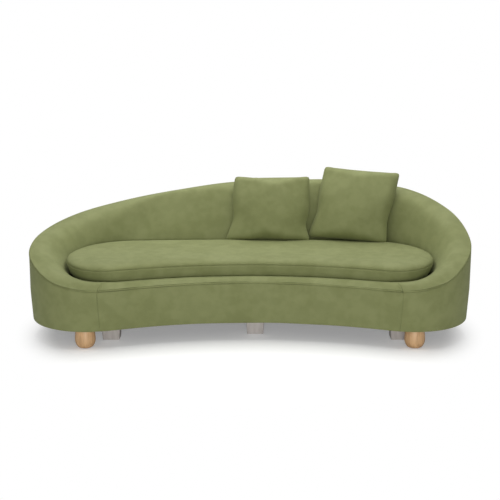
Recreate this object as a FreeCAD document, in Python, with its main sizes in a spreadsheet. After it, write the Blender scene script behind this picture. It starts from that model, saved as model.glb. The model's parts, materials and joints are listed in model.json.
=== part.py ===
import FreeCAD, Part
import math
import os

# Curved three-seat sofa with one kidney-shaped seat cushion and two loose pillows.
# Millimetres. +Z is up, the open front looks along -Y and +X is to the sitter's left.
# The origin lies on the floor, midway along the length and the depth.

UP = FreeCAD.Vector(0, 0, 1)

SIZES = {
    # Whole body, seen from above.
    "length": 2400,
    "depth": 982,
    "front_hollow": 157,
    "inner_horn_radius": 524,
    "horn_radius": 329,
    "back_bow": 53,
    # Cushion outline, set inside the body by these widths.
    "ledge_middle": 73,
    "ledge_horn": 89,
    "arm_thickness": 190,
    "back_thickness": 205,
    "cushion_inner_horn_radius": 200,
    "cushion_horn_radius": 200,
    "cushion_back_bow": 28.4,
    "cushion_horn_sweep": 35,
    # Rim heights above the floor.
    "rim_front": 326,
    "rim_ledge_end": 318,
    "rim_left_arm_front": 347,
    "rim_right_arm_front": 351,
    "rim_left_arm": 431,
    "rim_right_arm": 454,
    "rim_left_arm_back": 505,
    "rim_right_arm_back": 556,
    "rim_left_shoulder": 552,
    "rim_right_shoulder": 644,
    "rim_left_back": 614,
    "rim_right_back": 727,
    "rim_left_peak": 690,
    "rim_right_peak": 756,
    "rim_middle": 740,
    # Upholstered section.
    "wall_lean": 22,
    "lean_top": 270,
    "bottom_round": 8,
    "rim_round": 6,
    "collar_level": 355,
    "collar_round": 16,
    "back_tuck_level": 430,
    "seat_gap": 2,
    "cloth": 2,
    "flap_width": 38,
    "welt_dia": 3,
    "broad_round": 20,
    "skin_gap": 0.3,
    "foam_skin": 12,
    "step_turn": 10.1,
    "step_run": 240,
    # Timber frame.
    "ply": 18,
    "ring_width": 90,
    "ring_setback": 2,
    "spacer_height": 120,
    "spacer_thickness": 25,
    "rail_thickness": 45,
    "rib_foot_depth": 64,
    "rib_head_depth": 38,
    "rib_thickness": 18,
    "rib_slack": 1.4,
    "rim_cover_depth": 22,
    "lining": 2,
    "inside_lining": 3,
    "block": 76,
    "block_height": 24,
    "support_block": 104,
    # Seat.
    "strap_width": 60,
    "strap_pitch": 120,
    "strap": 2,
    "strap_landing": 22,
    "platform_height": 48,
    "deck_cloth": 1.5,
    "cushion_side_height": 98,
    "cushion_crown": 32,
    "cushion_undercut": 12,
    "piping_dia": 5,
    # Scatter pillows.
    "left_pillow_width": 472,
    "left_pillow_head": 406,
    "left_pillow_height": 367,
    "right_pillow_width": 455,
    "right_pillow_head": 424,
    "right_pillow_height": 424,
    "pillow_crown": 78,
    "pillow_back_crown": 34,
    "pillow_draw": 15,
    "pillow_ear": 16,
    "left_pillow_x": 103,
    "right_pillow_x": 561,
    "left_pillow_turn": -4,
    "right_pillow_turn": -12,
    "left_pillow_roll": -0.7,
    "right_pillow_roll": 3.3,
    "left_pillow_skew": 14,
    "right_pillow_skew": 40,
    "pillow_lean": 20,
    # Feet and their fixings.
    "foot_height": 100,
    "bun_dia": 110,
    "bun_base_dia": 66,
    "bun_top_dia": 96,
    "bun_belly_height": 45,
    "bun_shift": 5.5,
    "bun_inset": 77,
    "support_top": 103,
    "support_base": 90,
    "support_ease": 5,
    "support_inset": 94,
    "support_shift": 28.5,
    "support_setback": 234,
    "middle_setback": 184,
    "rear_foot_shift": 70,
    "glide": 3,
    "glide_dia": 50,
    "glide_width": 56,
}

doc = FreeCAD.newDocument("CurvedSofa")
sheet = doc.addObject("Spreadsheet::Sheet", "Sizes")
for row, (name, value) in enumerate(SIZES.items(), start=1):
    sheet.set(f"A{row}", name)
    sheet.set(f"B{row}", str(value))
    sheet.setAlias(f"B{row}", name)
doc.recompute()


def size(name):
    return float(sheet.get(name))


def cell(name):
    return f"Sizes.{name}"


# Levels of the frame, from the floor up.
GAP = size("skin_gap")
CLOTH = size("cloth")
BODY_BOTTOM = size("foot_height")
BASE_RING = BODY_BOTTOM + CLOTH
BASE_RING_TOP = BASE_RING + size("ply")
SEAT_RING = BASE_RING_TOP + size("spacer_height")
SEAT_RING_TOP = SEAT_RING + size("ply")
STRAPS_TOP = SEAT_RING_TOP + 2 * size("strap")
PLATFORM = STRAPS_TOP + GAP
PLATFORM_TOP = PLATFORM + size("platform_height")
DECK_TOP = PLATFORM_TOP + size("deck_cloth")
CUSHION_BOTTOM = DECK_TOP + GAP
PIPING_LEVEL = CUSHION_BOTTOM + size("cushion_side_height")
CUSHION_TOP = PIPING_LEVEL + size("cushion_crown")

# Depths inward from the outline to the frame's faces.
LINING_OUT = size("wall_lean") + CLOTH + size("foam_skin") + GAP
FRAME_OUT = LINING_OUT + size("lining")
RING_OUT = FRAME_OUT + size("ring_setback")
RING_IN = RING_OUT + size("ring_width")
RING_MIDDLE = RING_OUT + size("ring_width") / 2


class KidneyPlan:
    """An outline of tangent arcs: hollow in front, round at the ends, nearly flat behind.

    The side's radius follows from the depth that the horn and the bow of the back leave.
    """

    def __init__(self, length, front, back, hollow, inner_horn, horn, bow, sweep):
        half = length / 2
        turn = math.radians(sweep)
        fall = math.sin(turn)
        side = (back - front - horn * (1 + fall) - bow) / (1 - fall)
        horn_x = half - side + (side - horn) * math.cos(turn)
        dip = front + hollow
        rise = front + inner_horn - dip
        front_radius = (horn_x**2 + rise**2 - inner_horn**2) / (2 * (inner_horn - rise))
        front_y = dip - front_radius
        spread = math.atan2(horn_x, front + inner_horn - front_y)
        side_x = horn_x - (side - horn) * math.cos(turn)
        side_y = front + horn - (side - horn) * fall
        back_radius = side + (side_x**2 + bow**2) / (2 * bow)
        back_y = back - back_radius
        corner = math.atan2(side_y - back_y, side_x)
        quarter = math.pi / 2
        self.arcs = [
            (0, front_y, front_radius, quarter, quarter - spread, -1),
            (horn_x, front + inner_horn, inner_horn, -quarter - spread, -quarter, 1),
            (horn_x, front + horn, horn, -quarter, turn, 1),
            (side_x, side_y, side, turn, corner, 1),
            (0, back_y, back_radius, corner, quarter, 1),
        ]
        self.lengths = [arc[2] * abs(arc[4] - arc[3]) for arc in self.arcs]

    def on_arc(self, arc, angle, inset=0.0):
        x, y, radius, _, _, bend = arc
        reach = radius - bend * inset
        return (x + reach * math.cos(angle), y + reach * math.sin(angle))

    def at(self, share):
        """Arc and angle at a share of the half outline, from the front's middle to the back's."""
        run = share * sum(self.lengths)
        last = len(self.arcs) - 1
        for number, (arc, length) in enumerate(zip(self.arcs, self.lengths)):
            if run <= length or number == last:
                return number, arc[3] + (arc[4] - arc[3]) * min(run / length, 1.0)
            run -= length

    def matching(self, other, number, angle, inset=0.0):
        """The point here whose wall looks the same way as the given point of the other plan."""
        if number < 2:
            own, theirs = self.arcs[number], other.arcs[number]
            share = (angle - theirs[3]) / (theirs[4] - theirs[3])
            return self.on_arc(own, own[3] + (own[4] - own[3]) * share, inset)
        for arc in self.arcs[2:]:
            if angle <= arc[4] or arc is self.arcs[-1]:
                return self.on_arc(arc, angle, inset)

    def wire(self, inset, level):
        """The closed outline at a level, moved inward by an inset."""
        spans = []
        front, back = self.arcs[0], self.arcs[-1]
        spans.append((front, math.pi - front[4], front[4], 1))
        for arc in self.arcs[1:-1]:
            spans.append((arc, arc[3], arc[4], 1))
        spans.append((back, back[3], math.pi - back[3], 1))
        for arc in reversed(self.arcs[1:-1]):
            spans.append((arc, arc[4], arc[3], -1))
        edges = []
        for arc, start, end, side in spans:
            three = []
            for angle in (start, (start + end) / 2, end):
                x, y = self.on_arc(arc, angle, inset)
                three.append(FreeCAD.Vector(side * x, y, level))
            edges.append(Part.Arc(*three).toShape())
        return Part.Wire(edges)

    def face(self, inset, level, inner=None):
        outer = self.wire(inset, level)
        if inner is None:
            return Part.Face(outer)
        return Part.Face(outer).cut(Part.Face(self.wire(inner, level)))


BACK_Y = size("depth") / 2
FRONT_Y = -BACK_Y
BODY = KidneyPlan(
    size("length"),
    FRONT_Y,
    BACK_Y,
    size("front_hollow"),
    size("inner_horn_radius"),
    size("horn_radius"),
    size("back_bow"),
    0,
)
CUSHION = KidneyPlan(
    size("length") - 2 * size("arm_thickness"),
    FRONT_Y + size("ledge_horn"),
    BACK_Y - size("back_thickness"),
    size("front_hollow") + size("ledge_middle") - size("ledge_horn"),
    size("cushion_inner_horn_radius"),
    size("cushion_horn_radius"),
    size("cushion_back_bow"),
    -size("cushion_horn_sweep"),
)


def smooth(points, share):
    """A curve through (share, value) points that never overshoots them."""
    spans = [b[0] - a[0] for a, b in zip(points, points[1:])]
    slopes = [(b[1] - a[1]) / w for a, b, w in zip(points, points[1:], spans)]
    tangents = [0.0]
    for before, after in zip(slopes, slopes[1:]):
        product = before * after
        tangents.append(2 * product / (before + after) if product > 0 else 0.0)
    tangents.append(0.0)
    for number, width in enumerate(spans):
        if share <= points[number + 1][0] or number == len(spans) - 1:
            break
    t = min(max((share - points[number][0]) / width, 0.0), 1.0)
    low, high = points[number][1], points[number + 1][1]
    keep = low * (1 + 2 * t) * (1 - t) ** 2 + high * t * t * (3 - 2 * t)
    bend = tangents[number] * t * (1 - t) ** 2 - tangents[number + 1] * t * t * (1 - t)
    return keep + width * bend


# Shares of the half outline where the section changes, counted from the front's middle.
LEDGE_MIDDLE, LEDGE_END, ARM_FRONT, ARM, ARM_BACK = 0.0, 0.285, 0.35, 0.42, 0.50
SHOULDER, BACK, PEAK, BACK_MIDDLE = 0.58, 0.70, 0.85, 1.0


def rim_heights(side):
    return [
        (LEDGE_MIDDLE, size("rim_front")),
        (LEDGE_END, size("rim_ledge_end")),
        (ARM_FRONT, size(f"rim_{side}_arm_front")),
        (ARM, size(f"rim_{side}_arm")),
        (ARM_BACK, size(f"rim_{side}_arm_back")),
        (SHOULDER, size(f"rim_{side}_shoulder")),
        (BACK, size(f"rim_{side}_back")),
        (PEAK, size(f"rim_{side}_peak")),
        (BACK_MIDDLE, size("rim_middle")),
    ]


# The crest is where the top of the rim turns down to the seat: how far in it lies,
# how much it stands above the rim, and its radius.
CREST_IN = [(LEDGE_MIDDLE, 26), (LEDGE_END, 46), (ARM, 86), (SHOULDER, 108), (BACK, 116), (BACK_MIDDLE, 118)]
CREST_RISE = [(LEDGE_MIDDLE, 24), (LEDGE_END, 27), (ARM, 0), (SHOULDER, -10), (BACK_MIDDLE, -13)]
CREST_ROUND = [(LEDGE_MIDDLE, 30), (LEDGE_END, 60), (ARM, 130), (SHOULDER, 90), (BACK_MIDDLE, 66)]

# Broad rounds are broken into more chords than fine ones.
BROAD_CHORDS, FINE_CHORDS = 4, 2


def rounded(corners):
    """A closed loop of (depth, level, radius) corners, each round broken into short chords."""
    points = []
    for number, (depth, level, radius) in enumerate(corners):
        here = FreeCAD.Vector(depth, level, 0)
        if radius <= 0:
            points.append(here)
            continue
        before = FreeCAD.Vector(*corners[number - 1][:2], 0) - here
        after = FreeCAD.Vector(*corners[(number + 1) % len(corners)][:2], 0) - here
        half = before.getAngle(after) / 2
        reach = min(radius / math.tan(half), 0.48 * min(before.Length, after.Length))
        before.normalize()
        after.normalize()
        depth_of_centre = reach / math.cos(half)
        centre = here + (before + after).normalize() * depth_of_centre
        start = here + before * reach - centre
        end = here + after * reach - centre
        turn = math.degrees(start.getAngle(end)) * (1 if start.cross(end).z > 0 else -1)
        chords = BROAD_CHORDS if radius > size("broad_round") else FINE_CHORDS
        for step in range(chords + 1):
            spin = FreeCAD.Rotation(UP, turn * step / chords)
            points.append(centre + spin.multVec(start))
    return points


class Station:
    """A vertical plane across the upholstery. Depth runs inward from the outline to the cushion."""

    def __init__(self, place):
        # Places run from the front's middle round the right end to the back's middle at 1,
        # and on round the left end. A negative place lies on the left half.
        turned = place - 2 if place > 1 else place
        share = abs(turned)
        side = -1 if turned < 0 else 1
        self.side = side
        self.arc, self.angle = BODY.at(share)
        x, y = BODY.on_arc(BODY.arcs[self.arc], self.angle)
        self.foot = FreeCAD.Vector(side * x, y, 0)
        inward = self.seat_point(0, 0) - self.foot
        self.width = inward.Length
        self.inward = inward / inward.Length
        self.rim = smooth(rim_heights("left" if side < 0 else "right"), share)
        self.crest_in = smooth(CREST_IN, share)
        self.crest = self.rim + smooth(CREST_RISE, share)
        self.crest_round = smooth(CREST_ROUND, share)
        tuck = [(ARM, size("collar_level")), (BACK, size("back_tuck_level"))]
        self.tuck = smooth(tuck, share)

    def point(self, depth, level):
        return self.foot + self.inward * depth + UP * level

    def section(self, corners):
        """The points of a closed loop through (depth, level, radius) corners."""
        return [self.point(spot.x, spot.y) for spot in rounded(corners)]

    def seat_point(self, inset, level):
        """The point of the cushion's outline that faces this station."""
        x, y = CUSHION.matching(BODY, self.arc, self.angle, inset)
        return FreeCAD.Vector(self.side * x, y, level)

    def wall(self):
        """The outer face's corners, from the bottom edge up to the rim."""
        return [
            (size("wall_lean"), BODY_BOTTOM, size("bottom_round")),
            (0, size("lean_top"), 0),
            (0, self.rim, size("rim_round")),
        ]

    def bowl(self):
        """The inner face's corners, from the rim down beside the cushion to the deck."""
        side = self.width - size("seat_gap")
        return [
            (0, self.rim, size("rim_round")),
            (self.crest_in, self.crest, self.crest_round),
            (side, self.tuck, size("collar_round")),
            (side, DECK_TOP, 0),
        ]


def inside(line, distance):
    """An open line of corners moved to its right by a distance, with its rounds kept parallel."""
    moved = []
    for number, (depth, level, radius) in enumerate(line):
        ends = []
        if number > 0:
            ends.append((line[number - 1], line[number]))
        if number < len(line) - 1:
            ends.append((line[number], line[number + 1]))
        normals = []
        for start, end in ends:
            run, rise = end[0] - start[0], end[1] - start[1]
            length = math.hypot(run, rise)
            normals.append((rise / length, -run / length))
        if len(normals) == 1:
            shift = (normals[0][0] * distance, normals[0][1] * distance)
            turn = 0.0
        else:
            (ax, az), (bx, bz) = normals
            scale = distance / (1 + ax * bx + az * bz)
            shift = ((ax + bx) * scale, (az + bz) * scale)
            turn = ax * bz - az * bx
        kept = radius + distance if turn > 0 else max(radius - distance, 0.5)
        moved.append((depth + shift[0], level + shift[1], kept if radius > 0 else 0))
    return moved


def outline_steps():
    """Shares of the half outline that cut each arc into equal steps of a small turn."""
    whole = sum(BODY.lengths)
    shares, run = [0.0], 0.0
    for arc, length in zip(BODY.arcs, BODY.lengths):
        turns = abs(math.degrees(arc[4] - arc[3])) / size("step_turn")
        count = math.ceil(max(turns, length / size("step_run")))
        shares += [(run + length * number / count) / whole for number in range(1, count + 1)]
        run += length
    return shares


STEPS = outline_steps()


def on_step(share):
    """The step nearest to a share, so that pieces that end near each other end together."""
    return min(STEPS, key=lambda step: abs(step - share))


def along(start, end):
    """Stations at every step of the outline between two places."""
    places = {start, end}
    for step in STEPS:
        places.update(place for place in (-step, step, 2 - step) if start < place < end)
    kept = []
    for place in sorted(places):
        if not kept or place - kept[-1] > 1e-6:
            kept.append(place)
    return [Station(place) for place in kept]


def panel(points):
    return Part.Face(Part.makePolygon([*points, points[0]]))


def fold_rank(point):
    return (round(point.z, 3), math.hypot(point.x, point.y))


# How far, in millimetres, a fourth point may lie from the plane of three and still count as in it.
FLAT = 1e-7


def panels_across(first, second, third, fourth):
    """One flat panel through four points, or two triangles where they twist.

    The fold starts at the higher of the first two points, or at the outer one where they are
    level, so that neighbouring pieces fold alike.
    """
    if fold_rank(second) > fold_rank(first):
        first, second, third, fourth = second, third, fourth, first
    normal = (second - first).cross(third - first)
    if abs(normal.dot(fourth - first)) < FLAT * normal.Length:
        return [panel((first, second, third, fourth))]
    return [panel((first, second, third)), panel((first, third, fourth))]


def panelled(loops, closed=False):
    """A solid of flat panels, drawn from each closed loop of points to the next."""
    ends = [] if closed else [panel(loops[0]), panel(loops[-1])]
    following = [*loops[1:], loops[0]] if closed else loops[1:]
    faces = []
    for loop, after in zip(loops, following):
        for number in range(len(loop)):
            last = number - 1
            faces += panels_across(loop[last], loop[number], after[number], after[last])
    solid = Part.makeSolid(Part.makeShell(faces + ends))
    if solid.Volume < 0:
        solid.reverse()
    return solid


def sweep(stations, corners, closed=False):
    """A solid drawn straight from one rounded section to the next."""
    return panelled([station.section(corners(station)) for station in stations], closed)


# Places where panels, pads and the back frame begin and end.
PANEL_SEAM = on_step(0.277)
FRAME_START = on_step(0.37)
ARM_PAD_END = on_step(0.60)
COVER_CORNER = on_step(0.66)
BACK_PAD_END = on_step(0.84)

parts = []


def keep(item, label):
    item.Label = label
    parts.append(item)
    return item


def shaped(label, shape):
    """A sub-part whose form follows the outline, so its shape is set whole."""
    item = doc.addObject("Part::Feature", label)
    item.Shape = shape
    return keep(item, label)


def helper(kind, name, **values):
    item = doc.addObject(kind, name)
    for key, value in values.items():
        setattr(item, key, value)
    return item


def bind(item, **links):
    for key, text in links.items():
        item.setExpression(key.replace("__", "."), text)
    return item


def plate(name, face, thickness):
    """A flat face drawn up by a thickness from the sheet."""
    outline = helper("Part::Feature", f"{name}_outline", Shape=face)
    slab = helper("Part::Extrusion", f"{name}_slab", Base=outline, DirMode="Custom", Dir=UP, Solid=True)
    return bind(slab, LengthFwd=thickness)


# Feet.
HALF_BUN = size("length") / 2 - size("horn_radius") + size("bun_shift")
HALF_SUPPORT = HALF_BUN - size("support_inset")
SHIFT = size("support_shift")
HALF_REAR = HALF_SUPPORT - SHIFT - size("rear_foot_shift")


def behind(x):
    """The place at x in the middle of the ring's back stretch."""
    _, y, radius, _, _, _ = BODY.arcs[-1]
    return (x, y + math.sqrt((radius - RING_MIDDLE) ** 2 - x**2))


BUN_FEET = {
    "left_bun_foot": (-HALF_BUN, FRONT_Y + size("bun_inset")),
    "right_bun_foot": (HALF_BUN, FRONT_Y + size("bun_inset")),
}
SUPPORT_FEET = {
    "left_support_foot": (SHIFT - HALF_SUPPORT, FRONT_Y + size("support_setback")),
    "middle_support_foot": (SHIFT, FRONT_Y + size("front_hollow") + size("middle_setback")),
    "right_support_foot": (SHIFT + HALF_SUPPORT, FRONT_Y + size("support_setback")),
}
REAR_FEET = {
    "left_rear_foot": behind(-HALF_REAR),
    "middle_rear_foot": behind(SHIFT),
    "right_rear_foot": behind(HALF_REAR),
}


def at_place(place, spin=FreeCAD.Rotation()):
    return FreeCAD.Placement(FreeCAD.Vector(*place, 0), spin)


def arc_steps(low, high, belly, belly_level, chords):
    """Points of a turned round from one level to another, upright where it meets the belly."""
    end = high if low[0] == belly else low
    inward, rise = belly - end[0], belly_level - end[1]
    radius = (inward**2 + rise**2) / (2 * inward)
    turns = [math.asin((level - belly_level) / radius) for _, level in (low, high)]
    points = []
    for step in range(chords + 1):
        turn = turns[0] + (turns[1] - turns[0]) * step / chords
        across = belly - radius + radius * math.cos(turn)
        points.append(FreeCAD.Vector(across, 0, belly_level + radius * math.sin(turn)))
    return points


BUN_SIDES, BUN_CHORDS = 32, 3


def turned_loop(point):
    """The loop that a point of a profile draws round the upright axis."""
    turns = [360 * number / BUN_SIDES for number in range(BUN_SIDES)]
    return [FreeCAD.Rotation(UP, turn).multVec(point) for turn in turns]


def bun_foot(label, place):
    """A turned foot: flat base, quick lower curve to the belly, long upper curve to the top."""
    low, high = size("glide"), size("foot_height")
    belly, level = size("bun_dia") / 2, size("bun_belly_height")
    lower = arc_steps((size("bun_base_dia") / 2, low), (belly, level), belly, level, BUN_CHORDS)
    upper = arc_steps((belly, level), (size("bun_top_dia") / 2, high), belly, level, BUN_CHORDS)
    foot = shaped(label, panelled([turned_loop(point) for point in [*lower, *upper[1:]]]))
    foot.Placement = at_place(place)


def tapered_foot(label, place):
    """A square block foot, narrower at the floor, with eased upright edges."""
    wedge = helper("Part::Wedge", f"{label}_taper")
    base, top = f"{cell('support_base')} / 2", f"{cell('support_top')} / 2"
    bind(wedge, Xmin=f"-{base}", Xmax=base, Zmin=f"-{base}", Zmax=base)
    bind(wedge, X2min=f"-{top}", X2max=top, Z2min=f"-{top}", Z2max=top)
    bind(wedge, Ymin=cell("glide"), Ymax=cell("foot_height"))
    wedge.Placement = at_place(place, FreeCAD.Rotation(FreeCAD.Vector(1, 0, 0), 90))
    doc.recompute()
    ease = size("support_ease")
    uprights = []
    for number, edge in enumerate(wedge.Shape.Edges, start=1):
        if edge.BoundBox.ZLength > size("foot_height") / 2:
            uprights.append((number, ease, ease))
    eased = helper("Part::Chamfer", f"{label}_eased", Base=wedge)
    eased.Edges = uprights
    return keep(eased, label)


def cylinders(label, places, radius, height):
    """One upright cylinder of the same size at every place, standing on the floor."""
    rods = []
    for number, (x, y) in enumerate(places):
        rod = helper("Part::Cylinder", f"{label}_{number}")
        rod.Placement = at_place((x, y))
        rods.append(bind(rod, Radius=radius, Height=height))
    return rods


def boards(label, places, width, height, level):
    """One square board of the same size at every place."""
    made = []
    for number, (x, y) in enumerate(places):
        board = helper("Part::Box", f"{label}_{number}")
        corner = FreeCAD.Vector(x - size(width) / 2, y - size(width) / 2, level)
        board.Placement = FreeCAD.Placement(corner, FreeCAD.Rotation())
        made.append(bind(board, Length=cell(width), Width=cell(width), Height=height))
    return made


def group(label, items):
    return helper("Part::Compound", label, Links=items)


for label, place in BUN_FEET.items():
    bun_foot(label, place)
for label, place in {**SUPPORT_FEET, **REAR_FEET}.items():
    tapered_foot(label, place)

BLOCK_FEET = [*SUPPORT_FEET.values(), *REAR_FEET.values()]
round_glides = cylinders("round_glide", list(BUN_FEET.values()), f"{cell('glide_dia')} / 2", cell("glide"))
square_glides = boards("square_glide", BLOCK_FEET, "glide_width", cell("glide"), 0)
keep(group("foot_glides", round_glides + square_glides), "foot_glides")

# Base: two plywood rings, uprights between them, three rails from front to back.
for label, level in (("base_ring", BASE_RING), ("seat_ring", SEAT_RING)):
    keep(plate(label, BODY.face(RING_OUT, level, RING_IN), cell("ply")), label)

SPACER_SHARES = (0.10, 0.20, 0.37, 0.45, 0.53, 0.62, 0.84, 0.91)


def turned_box(name, place, direction, length, width, height, level):
    """A block whose length runs along a direction in plan, starting at a place."""
    box = helper("Part::Box", name)
    bind(box, Length=length, Width=width, Height=height)
    doc.recompute()
    spin = FreeCAD.Rotation(FreeCAD.Vector(1, 0, 0), direction)
    across = spin.multVec(FreeCAD.Vector(0, 1, 0)) * (box.Width.Value / 2)
    box.Placement = FreeCAD.Placement(place - across + UP * level, spin)
    return box


spacers = []
for number, share in enumerate(SPACER_SHARES):
    for side in (1, -1):
        span, angle = BODY.at(share)
        x, y = BODY.on_arc(BODY.arcs[span], angle, RING_OUT)
        inner_x, inner_y = BODY.on_arc(BODY.arcs[span], angle, RING_IN)
        start = FreeCAD.Vector(side * x, y, 0)
        way = FreeCAD.Vector(side * inner_x, inner_y, 0) - start
        spacers.append(
            turned_box(
                f"spacer_{number}_{side + 1}",
                start,
                way,
                cell("ring_width"),
                cell("spacer_thickness"),
                cell("spacer_height"),
                BASE_RING_TOP,
            )
        )
keep(group("ring_spacers", spacers), "ring_spacers")

rail_room = plate("rail_room", BODY.face(RING_OUT, BASE_RING_TOP), cell("spacer_height"))
for side, place in zip(("left", "middle", "right"), SUPPORT_FEET.values()):
    board = helper("Part::Box", f"{side}_board")
    bind(board, Length=cell("rail_thickness"), Width=cell("depth"), Height=cell("spacer_height"))
    corner = FreeCAD.Vector(place[0] - size("rail_thickness") / 2, FRONT_Y, BASE_RING_TOP)
    board.Placement = FreeCAD.Placement(corner, FreeCAD.Rotation())
    trimmed = helper("Part::Common", f"{side}_trimmed", Base=board, Tool=rail_room)
    keep(trimmed, f"{side}_cross_rail")


outer_feet = [*BUN_FEET.values(), REAR_FEET["left_rear_foot"], REAR_FEET["right_rear_foot"]]
foot_blocks = boards("foot_block", outer_feet, "block", cell("block_height"), BASE_RING_TOP)
keep(group("foot_blocks", foot_blocks), "foot_blocks")
support_places = list(SUPPORT_FEET.values())
support_blocks = boards("support_block", support_places, "support_block", cell("ply"), BASE_RING)
keep(group("support_blocks", support_blocks), "support_blocks")

dust_inset = size("wall_lean") + size("flap_width") + 2 * size("ring_setback")
dust_sheet = BODY.face(dust_inset, BODY_BOTTOM + GAP)
keep(plate("dust_cover", dust_sheet, cell("deck_cloth")), "dust_cover")

# Back frame: plywood ribs on the seat ring, capped by a rail that follows the rim.
LOOP = (FRAME_START, 2 - FRAME_START)
RAIL_IN = FRAME_OUT + size("rib_head_depth")
RIB_FOOT_IN = FRAME_OUT + size("rib_foot_depth")


def rail_top(station):
    return station.rim - size("rim_cover_depth")


def rail_corners(station):
    top = rail_top(station)
    low = top - size("ply")
    return [(FRAME_OUT, low, 0), (FRAME_OUT, top, 0), (RAIL_IN, top, 0), (RAIL_IN, low, 0)]


shaped("rim_rail", sweep(along(*LOOP), rail_corners))


def rib_corners(station):
    slack = size("rib_slack")
    head = rail_top(station) - size("ply") - slack
    return [
        (RING_OUT, SEAT_RING_TOP, 0),
        (RING_OUT, head, 0),
        (RAIL_IN - slack, head, 0),
        (RIB_FOOT_IN - slack, SEAT_RING_TOP, 0),
    ]


half_outline = sum(BODY.lengths)
half_rib = size("rib_thickness") / 2 / half_outline
ribs = []
for share in (0.40, 0.46, 0.52, 0.58, 0.645, 0.73, 0.82, 0.91, 1.0):
    for place in {on_step(share), 2 - on_step(share)}:
        pair = [Station(place - half_rib), Station(place + half_rib)]
        ribs.append(sweep(pair, rib_corners))
shaped("back_ribs", Part.Compound(ribs))

# Linings: thin board outside the frame, and inside the ribs as a bed for the foam.
def front_lining_corners(station):
    return [
        (LINING_OUT, BASE_RING, 0),
        (LINING_OUT, SEAT_RING_TOP, 0),
        (FRAME_OUT - GAP, SEAT_RING_TOP, 0),
        (FRAME_OUT - GAP, BASE_RING, 0),
    ]


def outside_lining_corners(station):
    top = rail_top(station)
    return [
        (LINING_OUT, BASE_RING, 0),
        (LINING_OUT, top, 0),
        (FRAME_OUT - GAP, top, 0),
        (FRAME_OUT - GAP, BASE_RING, 0),
    ]


def inside_lining_corners(station):
    head = rail_top(station) - size("ply") - GAP
    thick = size("inside_lining")
    return [
        (RIB_FOOT_IN + GAP, SEAT_RING_TOP, 0),
        (RAIL_IN + GAP, head, 0),
        (RAIL_IN + GAP + thick, head, 0),
        (RIB_FOOT_IN + GAP + thick, SEAT_RING_TOP, 0),
    ]


shaped("front_lining", sweep(along(-FRAME_START, FRAME_START), front_lining_corners))
shaped("outside_lining", sweep(along(*LOOP), outside_lining_corners))
shaped("inside_lining", sweep(along(*LOOP), inside_lining_corners))

# Foam. Each pad wraps over the frame, from outside its lining to beside the cushion.
SKIN = CLOTH + GAP


def flap_end():
    """The corner under the base where the outside covers are stapled."""
    return (size("wall_lean") + size("flap_width"), BODY_BOTTOM, 0)


def skin_line(station):
    return [flap_end(), *station.wall(), *station.bowl()[1:]]


def pad_outside(station):
    line = inside(skin_line(station), SKIN)
    foot = (line[-1][0], PLATFORM, 0)
    return [*line[1:-1], foot]


def ledge_pad_corners(station):
    face = LINING_OUT - GAP
    return [*pad_outside(station), (face, PLATFORM, 0), (face, BASE_RING + GAP, 0)]


def frame_pad_corners(station):
    face = LINING_OUT - GAP
    bed = size("inside_lining") + 2 * GAP
    top = rail_top(station) + 2 * GAP
    return [
        *pad_outside(station),
        (RIB_FOOT_IN + bed, PLATFORM, 0),
        (RAIL_IN + bed, rail_top(station) - size("ply"), 0),
        (RAIL_IN + bed, top, 0),
        (face, top, 0),
        (face, BASE_RING + GAP, 0),
    ]


LEDGE_PADS = {
    "front_ledge_pad": (-PANEL_SEAM, PANEL_SEAM),
    "right_horn_pad": (PANEL_SEAM, FRAME_START),
    "left_horn_pad": (2 - FRAME_START, 2 - PANEL_SEAM),
}
FRAME_PADS = {
    "right_arm_pad": (FRAME_START, ARM_PAD_END),
    "right_back_pad": (ARM_PAD_END, BACK_PAD_END),
    "middle_back_pad": (BACK_PAD_END, 2 - BACK_PAD_END),
    "left_back_pad": (2 - BACK_PAD_END, 2 - ARM_PAD_END),
    "left_arm_pad": (2 - ARM_PAD_END, 2 - FRAME_START),
}
for label, ends in LEDGE_PADS.items():
    shaped(label, sweep(along(*ends), ledge_pad_corners))
for label, ends in FRAME_PADS.items():
    shaped(label, sweep(along(*ends), frame_pad_corners))

# Covers. The outside ones stop under the rim seam, the inside ones start above it.
SEAM_DROP = size("rim_round")
HALF_WELT = size("welt_dia") / 2


def sheet_corners(line):
    """A closed section of cloth on the inner side of a line of corners."""
    return [*line, *reversed(inside(line, CLOTH))]


def outside_cover_corners(station):
    low, lean, rim = station.wall()
    edge = (0, rim[1] - SEAM_DROP - HALF_WELT, 0)
    return sheet_corners([flap_end(), low, lean, edge])


def inside_cover_corners(station):
    rim, crest, collar, foot = station.bowl()
    edge = (0, rim[1] - SEAM_DROP + HALF_WELT, 0)
    return sheet_corners([edge, (rim[0], rim[1], SEAM_DROP - HALF_WELT), crest, collar, foot])


OUTSIDE_COVERS = {
    "front_cover": (-PANEL_SEAM, PANEL_SEAM),
    "right_side_cover": (PANEL_SEAM, COVER_CORNER),
    "back_cover": (COVER_CORNER, 2 - COVER_CORNER),
    "left_side_cover": (2 - COVER_CORNER, 2 - PANEL_SEAM),
}
INSIDE_COVERS = {
    "front_ledge_cover": (-PANEL_SEAM, PANEL_SEAM),
    "inside_cover": (PANEL_SEAM, 2 - PANEL_SEAM),
}
for label, ends in OUTSIDE_COVERS.items():
    shaped(label, sweep(along(*ends), outside_cover_corners))
for label, ends in INSIDE_COVERS.items():
    shaped(label, sweep(along(*ends), inside_cover_corners))


def welt_corners(station):
    level = station.rim - SEAM_DROP
    half = HALF_WELT - GAP / 2
    out, back = -half / 2, CLOTH
    return [(out, level - half, 0), (back, level - half, 0), (back, level + half, 0), (out, level + half, 0)]


ALL_ROUND = along(-1, 1)[1:]
shaped("rim_welt", sweep(ALL_ROUND, welt_corners, closed=True))

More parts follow.
